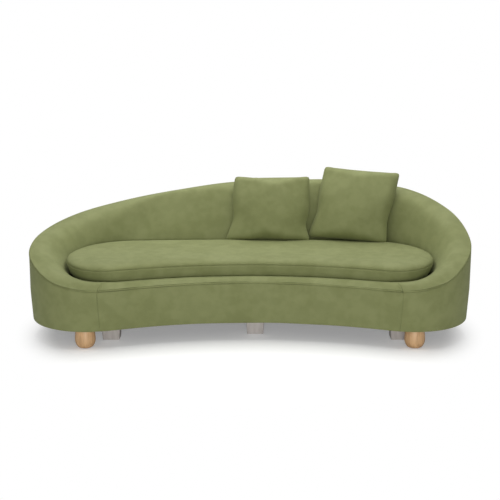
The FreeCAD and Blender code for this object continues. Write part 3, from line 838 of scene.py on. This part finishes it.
@dataclass(frozen=True)
class Plywood(Finish):
    """Bare plywood with its layers showing at the edges."""

    name: str = "plywood"
    pale: Colour = (0.620, 0.470, 0.300, 1)
    dark: Colour = (0.470, 0.325, 0.185, 1)
    layer: float = 0.0015

    def dress(self, shader: Shader) -> bpy.types.Material:
        """Long figure along the board and thin layers through it.

        Args:
            shader: the material's nodes.

        Returns:
            The material.
        """
        figure = shader.ranged(shader.noise(1.0, 4.0, 0.6, shader.stretched((3, 30, 30))), 0.35, 0.7)
        layers = shader.waves("Z", 0.05 / self.layer)
        share = figure * 0.7 + layers * 0.3
        shader.surface(
            Base_Color=shader.mixed(share, self.pale, self.dark),
            Roughness=0.72 + figure * 0.08,
            Normal=shader.bump(figure, 0.0003, 0.3),
        )
        return shader.made


@dataclass(frozen=True)
class Woven(Finish):
    """A plain woven or felted cloth with a fine cross-grain."""

    name: str
    thread: Colour
    hollow: Colour
    scale: float = 900.0
    roughness: float = 0.9

    def dress(self, shader: Shader) -> bpy.types.Material:
        """Two crossing sets of threads over a soft mottle.

        Args:
            shader: the material's nodes.

        Returns:
            The material.
        """
        weave = shader.waves("X", self.scale / 20) * shader.waves("Y", self.scale / 20)
        cloud = shader.noise(40.0, 4.0, 0.6)
        shader.surface(
            Base_Color=shader.mixed(weave * 0.6 + cloud * 0.4, self.hollow, self.thread),
            Roughness=self.roughness - cloud * 0.08,
            Normal=shader.bump(weave, 0.0004, 0.4),
        )
        return shader.made


@dataclass(frozen=True)
class Nylon(Finish):
    """Mat black nylon, scuffed a little."""

    name: str = "glide"
    colour: Colour = (0.028, 0.028, 0.030, 1)
    scuffed: Colour = (0.075, 0.074, 0.072, 1)

    def dress(self, shader: Shader) -> bpy.types.Material:
        """Fine scuffs in two directions.

        Args:
            shader: the material's nodes.

        Returns:
            The material.
        """
        scuffs = shader.ranged(shader.noise(180.0, 5.0, 0.7), 0.45, 0.75)
        shader.surface(
            Base_Color=shader.mixed(scuffs, self.colour, self.scuffed),
            Roughness=0.5 + scuffs * 0.2,
        )
        return shader.made


VELVET = Velvet()
TURNED_WOOD = TurnedWood()
GREY_WOOD = GreyWood()
PLYWOOD = Plywood()
NYLON = Nylon()
LINING_CLOTH = Woven("lining_cloth", (0.030, 0.030, 0.031, 1), (0.012, 0.012, 0.013, 1))
WEBBING = Woven("webbing", (0.105, 0.095, 0.080, 1), (0.040, 0.036, 0.032, 1), 500.0)
BOARD = Woven("board", (0.420, 0.330, 0.220, 1), (0.330, 0.250, 0.160, 1), 300.0)


# Sub-assemblies


@dataclass
class Upholstery:
    """The sofa's fixed covers: panels outside the rim seam and a bowl inside it."""

    welt: float = 0.0024
    welt_in: float = 0.0022
    welt_sides: int = 8
    shell: float = 0.002
    foam_shell: float = 0.009
    turn_in: float = 0.009
    lean_round: float = 0.5
    tuck_round: float = 0.016
    flap: float = 0.038
    row: float = 0.012
    swell: float = 0.0016
    swell_size: float = 0.22
    chords: int = 8
    divisions: int = 8
    relaxing: int = 14
    relaxing_along: int = 84
    held_near_seam: float = 0.12
    slack: float = 0.002

    def outside_line(self, station: Station) -> list[Corner]:
        """The corners of an outside panel, from under the base up into the rim seam.

        Args:
            station: the plane that it is cut at.

        Returns:
            (depth, level, radius) corners.
        """
        edge = station.seam - self.welt / 2
        lean = eased(WALL_LEAN, station.share)
        return [
            (lean + self.flap, SOFA.bottom, 0.0),
            (lean, SOFA.bottom, SOFA.bottom_round),
            (0.0, SOFA.lean_top, self.lean_round),
            (0.0, edge, SEAM_ROLL),
            (self.turn_in, edge, 0.0),
        ]

    def inside_line(self, station: Station) -> list[Corner]:
        """The corners of the bowl, from the rim seam over the crest down to the deck.

        Args:
            station: the plane that it is cut at.

        Returns:
            (depth, level, radius) corners.
        """
        edge = station.seam + self.welt / 2
        side = station.width - SOFA.seat_gap
        return [
            (self.turn_in, edge, 0.0),
            (0.0, edge, SEAM_ROLL),
            (0.0, station.rim, eased(RIM_ROUND, station.share)),
            (station.crest_in, station.crest, station.crest_round),
            (side, station.tuck, self.tuck_round),
            (side + station.foot_in, SOFA.deck_top, 0.0),
        ]

    def panel(
        self,
        name: str,
        ends: tuple[float, float],
        line: Callable[[Station], list[Corner]],
        thickness: float,
        replaced: Sequence[str],
        relaxed: bool = False,
    ) -> bpy.types.Object:
        """Builds one cover between two seams, turned in along both.

        Args:
            name: the piece's name.
            ends: the places of its two seams.
            line: gives its corners at a station.
            thickness: how thick the cover and what is bonded to it are.
            replaced: the solids that it stands for.
            relaxed: whether the crest is smoothed into the slope below it.

        Returns:
            The piece.
        """
        whole = SOFA.body.half_length
        spots = places(*ends, self.row, SEAM_ROWS)
        rows = []
        for place in spots:
            station = Station(place)
            sunk = roll_in(min(place - ends[0], ends[1] - place) * whole)
            corners = offset(line(station), sunk)
            section = rounded(corners, self.chords, self.divisions)
            rows.append([station.point(*spot) for spot in section])
        if relaxed:
            rows = self.relax(rows, spots)
        mesh = grid_mesh(len(rows), len(rows[0]), lambda row, column: rows[row][column])
        bmesh.ops.recalc_face_normals(mesh, faces=mesh.faces)
        if self.faces_inward(mesh):
            bmesh.ops.reverse_faces(mesh, faces=mesh.faces)
        soften(mesh, self.swell, self.swell_size, ends[0])
        area = sum(face.calc_area() for face in mesh.faces)
        bmesh.ops.solidify(mesh, geom=mesh.faces[:], thickness=thickness)
        piece = add_piece(name, mesh, VELVET, "sofa")
        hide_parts(*replaced)
        if thickness > self.shell:
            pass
        else:
            length = (ends[1] - ends[0]) * whole
            size = (length, area / length)
            self.board(name)
        return piece

    def board(self, name: str) -> str:
        """The thin board that an outside panel is stretched over."""
        return "front_lining" if name == "front_panel" else "outside_lining"

    def relax(self, rows: list[list[Vector]], spots: Sequence[float]) -> list[list[Vector]]:
        """Lets the stretched cloth between the rim and the collar find a softer curve.

        Args:
            rows: the points of each section.
            spots: the place of each section.

        Returns:
            The softened points. Those at the two seams stay.
        """
        corner = self.divisions + self.chords
        first, last = 2 * corner + 2, 3 * corner + self.divisions
        tight = numpy.array([[tuple(spot) for spot in row] for row in rows])
        points = tight.copy()
        away = numpy.array([min(spot - spots[0], spots[-1] - spot) for spot in spots])
        loose = numpy.clip(away / self.held_near_seam, 0, 1) ** 2
        loose = (loose * (3 - 2 * loose))[:, None, None]
        for _ in range(self.relaxing):
            middle = (points[:, first - 1 : last - 1] + points[:, first + 1 : last + 1]) / 2
            points[:, first:last] += (middle - points[:, first:last]) * 0.5
        for _ in range(self.relaxing_along):
            middle = (points[:-2, first:last] + points[2:, first:last]) / 2
            points[1:-1, first:last] += (middle - points[1:-1, first:last]) * 0.5 * loose[1:-1]
        swell = numpy.sin(numpy.linspace(0, math.pi, last - first))
        points[:, first:last, 2] += self.slack * swell
        points = tight + (points - tight) * loose
        return [[Vector(spot) for spot in row] for row in points]

    def faces_inward(self, mesh: bmesh.types.BMesh) -> bool:
        """Finds out whether an open cover's faces look into the sofa.

        Args:
            mesh: the cover.

        Returns:
            Whether its lowest face looks up or its highest face down.
        """
        mesh.normal_update()
        lowest = min(mesh.faces, key=lambda face: face.calc_center_median().z)
        highest = max(mesh.faces, key=lambda face: face.calc_center_median().z)
        return lowest.normal.z > 0.5 or highest.normal.z < -0.5

    def welt_cord(self) -> bpy.types.Object:
        """Builds the slim cord sewn into the rim seam all round.

        Returns:
            The piece.
        """
        stations = [Station(place) for place in places(-1.0, 1.0, self.row)[:-1]]
        radius = self.welt / 2
        turns = [2 * math.pi * n / self.welt_sides for n in range(self.welt_sides)]
        ring = [(radius * math.cos(turn), radius * math.sin(turn)) for turn in [*turns, 2 * math.pi]]
        mesh = grid_mesh(
            len(stations),
            len(ring),
            lambda row, column: stations[row].point(
                self.welt_in + ring[column][0], stations[row].seam + ring[column][1]
            ),
            ring=True,
        )
        piece = add_piece("rim_welt_cord", mesh, VELVET, "sofa")
        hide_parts("rim_welt")
        return piece

    def build(self) -> None:
        """Builds the panels, the bowl and the welt."""
        seam, back = SOFA.panel_seam, SOFA.back_seam
        outside = {
            "front_panel": ((-seam, seam), ["front_cover"]),
            "right_side_panel": ((seam, back), ["right_side_cover"]),
            "back_panel": ((back, 2 - back), ["back_cover"]),
            "left_side_panel": ((2 - back, 2 - seam), ["left_side_cover"]),
        }
        for name, (ends, replaced) in outside.items():
            self.panel(name, ends, self.outside_line, self.shell, replaced)
        pads = ["right_horn_pad", "left_horn_pad", "right_arm_pad", "left_arm_pad"]
        pads += ["right_back_pad", "left_back_pad", "middle_back_pad"]
        ledge = ["front_ledge_cover", "front_ledge_pad"]
        self.panel("front_ledge", (-seam, seam), self.inside_line, self.foam_shell, ledge)
        bowl = ["inside_cover", *pads]
        ends = (seam, 2 - seam)
        self.panel("arm_and_back_bowl", ends, self.inside_line, self.foam_shell, bowl, relaxed=True)
        self.welt_cord()


@dataclass
class Seat:
    """The deck and the loose kidney-shaped cushion on it."""

    bottom: float = 0.3121
    side_height: float = 0.098
    crown: float = 0.032
    foot_round: float = 0.012
    bulge: float = 0.003
    bulge_share: float = 0.12
    side_in: float = 0.0035
    top_in: float = 0.005
    crown_reach: float = 0.085
    crown_start: float = 0.003
    crown_shape: float = 1.15
    cushion_row: float = 0.018
    deck_row: float = 0.03
    deck_bottom: float = 0.2623

    @property
    def seam_level(self) -> float:
        """The level of the seam between the cushion's side and top."""
        return self.bottom + self.side_height

    def cushion_profile(self, undercut: float) -> list[tuple[float, float]]:
        """Works out the cushion's outline across its border.

        Args:
            undercut: how far the foot of its side stands in from its seam.

        Returns:
            (inset, level) points from the bottom's middle, out, up and over to the top's.
        """
        low, seam, crown = self.bottom, self.seam_level, self.crown
        profile = [(0.16, low + 0.0005), (0.12, low), (0.08, low)]
        for turn in (0, 30, 60, 90):
            angle = math.radians(turn)
            inset = undercut + self.foot_round * (1 - math.sin(angle))
            profile.append((inset, low + self.foot_round * (1 - math.cos(angle))))
        for share in (0.3, 0.45, 0.6, 0.75, 0.88):
            bulge = (self.bulge + undercut * self.bulge_share) * math.sin(math.pi * share)
            inset = undercut + (self.side_in - undercut) * share - bulge
            profile.append((inset, low + (seam - low) * share))
        profile += [(0.0026, seam - 0.005), (0.0048, seam - 0.0018), (0.0105, seam)]
        profile += [(0.0052, seam + 0.0018), (0.0046, seam + 0.0045)]
        for turn in (15, 28, 40, 51, 61, 70, 78, 84, 89):
            angle = math.radians(turn)
            inset = self.top_in + self.crown_reach * (1 - math.cos(angle)) ** self.crown_shape
            start = self.crown_start
            profile.append((inset, seam + start + (crown - start) * math.sin(angle)))
        profile += [(0.13, seam + crown), (0.17, seam + crown)]
        return profile

    def cushion(self) -> bpy.types.Object:
        """Builds the cushion with its crowned top, drawn-in seam and undercut side.

        Returns:
            The piece.
        """
        stations = [Station(place) for place in places(-1.0, 1.0, self.cushion_row)[:-1]]
        profiles = [self.cushion_profile(station.undercut) for station in stations]
        mesh = grid_mesh(
            len(stations),
            len(profiles[0]),
            lambda row, column: stations[row].seat_point(*profiles[row][column]),
            ring=True,
        )
        close_rims(mesh, [edge for edge in mesh.edges if edge.is_boundary])
        piece = add_piece("seat_cushion", mesh, VELVET, "seat_cushion")
        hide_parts("seat_cushion_cover", "seat_cushion_core", "seat_cushion_piping")
        return piece

    def deck(self) -> bpy.types.Object:
        """Builds the cloth-covered foam deck under the cushion.

        Returns:
            The piece.
        """
        low, top = self.deck_bottom, SOFA.deck_top
        profile = [(0.10, low), (0.006, low), (0.003, low + 0.004)]
        profile += [(0.003, top - 0.005), (0.0045, top - 0.0015), (0.009, top), (0.10, top)]
        stations = [Station(place) for place in places(-1.0, 1.0, self.deck_row)[:-1]]
        drawn = [max(station.foot_in, 0.0) for station in stations]
        mesh = grid_mesh(
            len(stations),
            len(profile),
            lambda row, column: stations[row].seat_point(
                profile[column][0] + drawn[row], profile[column][1]
            ),
            ring=True,
        )
        close_rims(mesh, [edge for edge in mesh.edges if edge.is_boundary])
        piece = add_piece("seat_deck", mesh, LINING_CLOTH, "sofa")
        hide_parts("platform_pad", "deck_cloth")
        return piece

    def build(self) -> None:
        """Builds the deck and the cushion."""
        self.deck()
        self.cushion()


@dataclass(frozen=True)
class Stuffing:
    """Loose filling that swells a sewn case, worked out by cloth simulation."""

    pressure: float = 1.2
    frames: int = 20
    quality: int = 6
    weight: float = 0.25
    stretch: float = 22.0
    bend: float = 0.6

    def fill(self, mesh: bmesh.types.BMesh) -> bmesh.types.BMesh:
        """Swells a closed case.

        Args:
            mesh: the slack case, which is used up.

        Returns:
            The filled case, with its vertices in the same order.
        """
        scene = bpy.context.scene
        data = bpy.data.meshes.new("case")
        mesh.to_mesh(data)
        mesh.free()
        case = bpy.data.objects.new("case", data)
        scene.collection.objects.link(case)
        cloth = case.modifiers.new("Case", "CLOTH")
        cloth.point_cache.frame_end = self.frames
        cloth.collision_settings.use_collision = False
        settings = cloth.settings
        settings.quality = self.quality
        settings.mass = self.weight
        settings.tension_stiffness = settings.compression_stiffness = self.stretch
        settings.shear_stiffness = self.stretch / 3
        settings.bending_stiffness = self.bend
        settings.use_pressure = True
        settings.uniform_pressure_force = self.pressure
        settings.effector_weights.gravity = 0
        for frame in range(1, self.frames + 1):
            scene.frame_set(frame)
        settled = bmesh.new()
        settled.from_object(case, bpy.context.evaluated_depsgraph_get())
        scene.frame_set(1)
        bpy.data.objects.remove(case)
        bpy.data.meshes.remove(data)
        return settled


@dataclass(frozen=True)
class Pinch:
    """A spot on a pillow's rim that is pushed in. Across and up run from -1 to 1."""

    across: float
    up: float
    radius: float
    pull: float


@dataclass
class ScatterPillow:
    """A square knife-edge pillow with soft corners and sides that its filling draws in."""

    hand: Hand
    width: float
    head: float
    height: float
    skew: float
    turn: float
    roll: float
    pinches: tuple[Pinch, ...] = ()
    lean: float = 20.0
    front_crown: float = 0.080
    back_crown: float = 0.036
    corner: float = 0.11
    cells: int = 46
    slack: float = 0.012
    sink: float = 0.012
    smoothing: int = 10
    drawn: float = 0.45
    drawn_foot: float = 0.1
    pinch_reach: float = 2.2
    pinch_flat: float = 6.0
    rest_gap: float = 0.0004
    foot_band: float = 2.5
    foot_ease: float = 1.6
    quick_depth: float = 0.09
    quick_square: float = 2.6
    quick_edge: float = 0.62
    quick_drawn: float = 0.05
    stuffing: Stuffing = Stuffing()

    @property
    def name(self) -> str:
        """The pillow's body in the part."""
        return f"{self.hand.name.lower()}_pillow"

    def softened(self, u: float, v: float) -> tuple[float, float]:
        """Rounds the corners of the unit square.

        Args:
            u: how far across a point lies, from -1 to 1.
            v: how far up it lies, from -1 to 1.

        Returns:
            Where it lies on the rounded square.
        """
        reach = 1 - self.corner
        over_u, over_v = max(abs(u) - reach, 0.0), max(abs(v) - reach, 0.0)
        longest = max(over_u, over_v)
        if min(over_u, over_v) <= 0:
            return u, v
        pull = longest / math.hypot(over_u, over_v)
        across, up = reach + over_u * pull, reach + over_v * pull
        return math.copysign(across, u), math.copysign(up, v)

    def case(self) -> tuple[bmesh.types.BMesh, list[tuple[float, float, bool]]]:
        """Sews two flat squares together along their edges.

        Returns:
            The slack case and, for each vertex, its place on the unit square and whether it
            lies on the back.
        """
        mesh = bmesh.new()
        bmesh.ops.create_grid(mesh, x_segments=self.cells, y_segments=self.cells, size=1.0)
        copied = bmesh.ops.duplicate(mesh, geom=mesh.verts[:] + mesh.edges[:] + mesh.faces[:])
        bmesh.ops.reverse_faces(
            mesh, faces=[item for item in copied["geom"] if isinstance(item, bmesh.types.BMFace)]
        )
        for item in copied["geom"]:
            if isinstance(item, bmesh.types.BMVert):
                item.co.z = 1.0
        for vert in mesh.verts:
            if max(abs(vert.co.x), abs(vert.co.y)) > 1 - 1e-6:
                vert.co.z = 0.0
        bmesh.ops.remove_doubles(mesh, verts=mesh.verts, dist=1e-5)
        mesh.verts.index_update()
        marks = [(vert.co.x, vert.co.y, vert.co.z > 0.5) for vert in mesh.verts]
        for vert, (u, v, behind) in zip(mesh.verts, marks):
            slack = self.slack * (1 - u**8) * (1 - v**8)
            depth = slack if behind else -slack
            vert.co = Vector((u * self.width / 2, depth, v * self.height / 2))
        return mesh, marks

    def smooth(self, mesh: bmesh.types.BMesh, marks: Sequence[tuple[float, float, bool]]) -> None:
        """Rubs the folds that run in from the corners out of the two faces.

        Args:
            mesh: the filled case.
            marks: each vertex's place on the unit square and whether it lies on the back.
        """
        bmesh.ops.smooth_vert(mesh, verts=mesh.verts, factor=0.5, use_axis_y=True)
        inner = [vert for vert, (u, v, _) in zip(mesh.verts, marks) if max(abs(u), abs(v)) < 0.99]
        for _ in range(self.smoothing):
            bmesh.ops.smooth_vert(
                mesh, verts=inner, factor=0.5, use_axis_x=True, use_axis_y=True, use_axis_z=True
            )

    def pinched(self, u: float, v: float) -> tuple[float, float]:
        """Works out what the pinches do to a point.

        Args:
            u: how far across it lies, from -1 to 1.
            v: how far up it lies, from -1 to 1.

        Returns:
            How far across it moves, and the share of its thickness that stays.
        """
        shift, kept = 0.0, 1.0
        for pinch in self.pinches:
            away = (u - pinch.across) ** 2 + (v - pinch.up) ** 2
            near = math.exp(-away / pinch.radius**2)
            shift -= math.copysign(pinch.pull * near * self.pinch_reach, pinch.across)
            kept *= 1 - min(pinch.pull * self.pinch_flat, 0.9) * near
        return shift, kept

    def settle(self, mesh: bmesh.types.BMesh, marks: Sequence[tuple[float, float, bool]]) -> None:
        """Brings the filled case to its width, height and crowns, and pinches it.

        Args:
            mesh: the filled case.
            marks: each vertex's place on the unit square and whether it lies on the back.
        """
        half_x = max(vert.co.x for vert in mesh.verts)
        half_z = max(vert.co.z for vert in mesh.verts)
        self.smooth(mesh, marks)
        front = self.front_crown / -min(vert.co.y for vert in mesh.verts)
        back = self.back_crown / max(vert.co.y for vert in mesh.verts)
        sides, ends = {}, {}
        for vert, (u, v, _) in zip(mesh.verts, marks):
            if abs(u) > 0.999:
                sides[u > 0, round(v, 4)] = abs(vert.co.x) / half_x
            if abs(v) > 0.999:
                ends[v > 0, round(u, 4)] = abs(vert.co.z) / half_z
        for vert, (u, v, _) in zip(mesh.verts, marks):
            across, up = vert.co.x / half_x, vert.co.z / half_z
            drawn_end = self.drawn_foot if v < 0 else self.drawn
            across *= 1 + (1 / sides[u > 0, round(v, 4)] - 1) * (1 - self.drawn) * abs(u)
            up *= 1 + (1 / ends[v > 0, round(u, 4)] - 1) * (1 - drawn_end) * abs(v)
            soft_u, soft_v = self.softened(u, v)
            if (soft_u, soft_v) != (u, v):
                across, up = across * soft_u / u, up * soft_v / v
            half = (self.width * (1 - up) + self.head * (1 + up)) / 4
            shift, kept = self.pinched(u, v)
            depth = vert.co.y * (back if vert.co.y > 0 else front) * kept
            rise = (1 + up) / 2
            vert.co = Vector(((across + shift) * half + self.skew * rise, depth, rise * self.height))

    def stand(self, mesh: bmesh.types.BMesh) -> None:
        """Leans the pillow where its solid stands and presses its foot flat on the cushion.

        Args:
            mesh: the settled pillow.
        """
        spin = (
            Matrix.Rotation(math.radians(self.turn), 4, "Z")
            @ Matrix.Rotation(math.radians(-self.lean), 4, "X")
            @ Matrix.Rotation(math.radians(self.roll), 4, "Y")
        )
        bmesh.ops.transform(mesh, matrix=spin, verts=mesh.verts)
        low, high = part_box(f"{self.name}_cover")
        now_low = Vector(min(vert.co[axis] for vert in mesh.verts) for axis in range(3))
        now_high = Vector(max(vert.co[axis] for vert in mesh.verts) for axis in range(3))
        shift = (low + high - now_low - now_high) / 2
        shift.z = low.z - now_low.z - self.sink
        bmesh.ops.translate(mesh, vec=shift, verts=mesh.verts)
        floor = low.z + self.rest_gap
        band = self.sink * self.foot_band
        for vert in mesh.verts:
            rise = vert.co.z - floor
            if rise < band:
                share = max((rise + self.sink) / (band + self.sink), 0.0)
                vert.co.z = floor + band * share**self.foot_ease

    def build(self) -> bpy.types.Object:
        """Sews, fills and stands the pillow.

        Returns:
            The piece.
        """
        mesh, marks = self.case()
        mesh = self.stuffing.fill(mesh)
        self.settle(mesh, marks)
        self.stand(mesh)
        piece = add_piece(self.name, mesh, VELVET, self.name, levels=1)
        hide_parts(f"{self.name}_cover", f"{self.name}_filling")
        return piece


@dataclass
class Feet:
    """Two turned bun feet in front; the block feet keep their solids."""

    belly: float = 0.055
    belly_level: float = 0.045
    base: float = 0.038
    top: float = 0.048
    low: float = 0.003
    high: float = 0.100
    edge_in: float = 0.002
    edge_up: float = 0.0012
    steps_round: int = 64

    def profile(self) -> list[Vector]:
        """The turned outline, from the axis at the floor to the axis at the top.

        Returns:
            Its points in the XZ plane.
        """
        outline = [(0, self.low), (self.base - self.edge_in, self.low)]
        outline.append((self.base, self.low + self.edge_up))
        outline += self.swell(self.base, self.low, 9)
        outline.append((self.belly, self.belly_level))
        outline += reversed(self.swell(self.top, self.high, 12))
        outline += [(self.top, self.high), (0, self.high)]
        return [Vector((reach, 0, level)) for reach, level in outline]

    def swell(self, edge: float, level: float, steps: int) -> list[tuple[float, float]]:
        """The arc between an end of the foot and its belly.

        Args:
            edge: the end's radius.
            level: the end's level.
            steps: how many chords the arc has.

        Returns:
            (radius, level) points, from the end to the belly, without both.
        """
        inward, rise = self.belly - edge, self.belly_level - level
        radius = (inward**2 + rise**2) / (2 * inward)
        reach = math.asin(-rise / radius)
        turns = [reach * (1 - step / steps) for step in range(1, steps)]
        middle = self.belly - radius
        return [
            (middle + radius * math.cos(turn), self.belly_level + radius * math.sin(turn))
            for turn in turns
        ]

    def bun_foot(self, hand: Hand) -> bpy.types.Object:
        """Turns one bun foot.

        Args:
            hand: which of the two.

        Returns:
            The piece.
        """
        node = f"{hand.name.lower()}_bun_foot"
        low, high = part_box(node)
        centre = (low + high) / 2
        mesh = bmesh.new()
        verts = [mesh.verts.new(point) for point in self.profile()]
        for first, second in zip(verts, verts[1:]):
            mesh.edges.new((first, second))
        bmesh.ops.spin(
            mesh,
            geom=mesh.verts[:] + mesh.edges[:],
            cent=(0, 0, 0),
            axis=(0, 0, 1),
            angle=2 * math.pi,
            steps=self.steps_round,
            use_merge=True,
        )
        bmesh.ops.remove_doubles(mesh, verts=mesh.verts, dist=1e-6)
        bmesh.ops.translate(mesh, vec=(centre.x, centre.y, 0), verts=mesh.verts)
        piece = add_piece(f"{hand.name.lower()}_turned_foot", mesh, TURNED_WOOD, "sofa")
        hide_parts(node)
        return piece

    def build(self) -> None:
        """Turns both feet."""
        for hand in Hand:
            self.bun_foot(hand)


@dataclass
class Underside:
    """The black cloth stapled under the frame."""

    inset: float = 0.052
    level: float = 0.1010
    rings: tuple[float, ...] = (0.0, 0.012, 0.05, 0.10, 0.16)
    row: float = 0.03
    thickness: float = 0.0008

    def build(self) -> bpy.types.Object:
        """Builds the cloth.

        Returns:
            The piece.
        """
        stations = [Station(place) for place in places(-1.0, 1.0, self.row)[:-1]]
        insets = [self.inset + ring for ring in self.rings]
        mesh = grid_mesh(
            len(stations),
            len(insets),
            lambda row, column: stations[row].body_point(insets[column], self.level),
            ring=True,
        )
        close_rims(mesh, self.inner_rim(mesh, stations, insets[-1]))
        bmesh.ops.recalc_face_normals(mesh, faces=mesh.faces)
        area = sum(face.calc_area() for face in mesh.faces)
        bmesh.ops.solidify(mesh, geom=mesh.faces[:], thickness=self.thickness)
        piece = add_piece("dust_sheet", mesh, LINING_CLOTH, "sofa")
        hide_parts("dust_cover")
        size = (SOFA.length - 2 * self.inset, SOFA.depth - 2 * self.inset)
        return piece

    def inner_rim(
        self, mesh: bmesh.types.BMesh, stations: Sequence[Station], inset: float
    ) -> list[bmesh.types.BMEdge]:
        """Finds the open edges along the inner rim of the cloth.

        Args:
            mesh: the cloth so far.
            stations: the planes that its rows lie in.
            inset: how far in the rim lies.

        Returns:
            The edges.
        """
        rim = {station.body_point(inset, self.level).to_tuple(5) for station in stations}
        return [
            edge
            for edge in mesh.edges
            if edge.is_boundary and all(vert.co.to_tuple(5) in rim for vert in edge.verts)
        ]


@dataclass
class Frame:
    """The timber, boards, webbing and glides, which keep their solids."""

    finishes: dict[str, Finish] = field(
        default_factory=lambda: {
            "plywood": PLYWOOD,
            "grey_wood": GREY_WOOD,
            "board": BOARD,
            "webbing": WEBBING,
            "glide": NYLON,
        }
    )

    def dress(self) -> None:
        """Gives each solid that stays the finish of its slot."""
        for row in frame["record"]["subparts"]:
            node = frame["nodes"][row["node"]]
            finish = self.finishes.get(row["material_slot"])
            if finish is None or node.hide_render:
                continue
            node.data.materials.clear()
            node.data.materials.append(finish.material())
            log.info("%s: kept, in %s", node.name, finish.name)


# Studio


WHITE: Colour = (1, 1, 1, 1)


@dataclass
class Studio:
    """A pale floor, plain soft light and the photograph's camera."""

    camera_y: float = -6.148
    camera_z: float = 1.881
    pitch: float = 76.74
    field_of_view: float = 25.0
    sensor: float = 36.0
    floor: float = 12.0
    floor_grey: Colour = (0.82, 0.82, 0.82, 1)
    floor_lift: float = 0.25
    shadow_reach: float = 1.08
    white_from: float = 1.32
    room: float = 0.37

    def camera(self) -> None:
        """Sets the camera in front of the sofa, a little above it."""
        data = bpy.data.cameras.new("camera")
        data.sensor_width = self.sensor
        data.angle = math.radians(self.field_of_view)
        data.clip_end = 100
        placed = bpy.data.objects.new("camera", data)
        placed.location = (0, self.camera_y, self.camera_z)
        placed.rotation_euler = (math.radians(self.pitch), 0, 0)
        bpy.context.scene.collection.objects.link(placed)
        bpy.context.scene.camera = placed

    def lamp(
        self,
        name: str,
        place: Sequence[float],
        size: float,
        power: float,
        aim: Sequence[float] = (0, 0, 0.3),
    ) -> None:
        """Hangs one soft square lamp.

        Args:
            name: the lamp's name.
            place: where it hangs.
            size: the length of its side.
            power: its power in watts.
            aim: the point it looks at.
        """
        data = bpy.data.lights.new(name, "AREA")
        data.size = size
        data.energy = power
        placed = bpy.data.objects.new(name, data)
        placed.location = place
        line = Vector(aim) - Vector(place)
        placed.rotation_euler = line.to_track_quat("-Z", "Y").to_euler()
        bpy.context.scene.collection.objects.link(placed)

    def backdrop(self) -> None:
        """Lays a pale floor that the camera sees as white and that still takes the shadow."""
        mesh = bmesh.new()
        bmesh.ops.create_grid(mesh, x_segments=1, y_segments=1, size=self.floor)
        data = bpy.data.meshes.new("floor")
        mesh.to_mesh(data)
        mesh.free()
        placed = bpy.data.objects.new("floor", data)
        bpy.context.scene.collection.objects.link(placed)
        shader = Shader("floor")
        shader.surface(Base_Color=self.floor_grey, Roughness=0.9)
        far = shader.node(
            "ShaderNodeVectorMath", {"operation": "LENGTH"}, out="Value", i0=shader.place
        )
        plain = Socket(shader.tree, shader.main.outputs[0])
        white = shader.node("ShaderNodeEmission", Color=WHITE, Strength=1.0)
        lift = shader.node("ShaderNodeEmission", Color=WHITE, Strength=self.floor_lift)
        lit = shader.node("ShaderNodeAddShader", i0=plain, i1=lift)
        edge = shader.ranged(far, self.shadow_reach, self.white_from)
        seen = shader.node("ShaderNodeMixShader", i0=edge, i1=lit, i2=white)
        path = shader.node("ShaderNodeLightPath", out="Is Camera Ray")
        shown = shader.node("ShaderNodeMixShader", i0=path, i1=plain, i2=seen)
        shader.show("OUTPUT_MATERIAL", shown)
        data.materials.append(shader.made)

    def world(self) -> None:
        """Lights everything evenly from a white room."""
        world = bpy.data.worlds.new("room")
        bpy.context.scene.world = world
        world.use_nodes = True
        nodes = Nodes(world.node_tree)
        room = next(node for node in nodes.tree.nodes if node.type == "BACKGROUND")
        nodes.feed(room.inputs["Color"], WHITE)
        nodes.feed(room.inputs["Strength"], self.room)
        lit = Socket(nodes.tree, room.outputs[0])
        seen = nodes.node("ShaderNodeBackground", Color=WHITE, Strength=1.0)
        path = nodes.node("ShaderNodeLightPath", out="Is Camera Ray")
        shown = nodes.node("ShaderNodeMixShader", i0=path, i1=lit, i2=seen)
        nodes.show("OUTPUT_WORLD", shown)

    def build(self) -> None:
        """Sets up the camera, floor and light."""
        bpy.context.scene.view_settings.view_transform = "Standard"
        self.camera()
        self.backdrop()
        self.world()
        self.lamp("ceiling", (0, 0.5, 3.2), 3.4, 112)
        self.lamp("front_left", (-3.0, -4.2, 2.4), 2.4, 9)
        self.lamp("front_right", (3.2, -4.0, 2.2), 2.4, 9)
        self.lamp("front_low", (0, -5.2, 0.15), 2.4, 128, aim=(0, 0, 0.1))


def main() -> None:
    """Builds the sofa and its studio."""
    logging.basicConfig(level=logging.INFO)
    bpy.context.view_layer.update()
    Studio().build()
    Upholstery().build()
    Seat().build()
    ScatterPillow(
        Hand.LEFT,
        width=0.500,
        head=0.440,
        height=0.388,
        skew=0.024,
        turn=-4.0,
        roll=-0.7,
        pinches=(Pinch(1.0, -0.5, 0.30, 0.040), Pinch(-1.0, -0.3, 0.42, 0.045)),
    ).build()
    ScatterPillow(
        Hand.RIGHT,
        width=0.466,
        head=0.444,
        height=0.426,
        skew=0.042,
        turn=-12.0,
        roll=3.3,
        pinches=(Pinch(1.0, -0.35, 0.38, 0.030), Pinch(-1.0, -0.3, 0.38, 0.030)),
    ).build()
    Feet().build()
    Underside().build()
    Frame().dress()


if __name__ == "__main__":
    main()
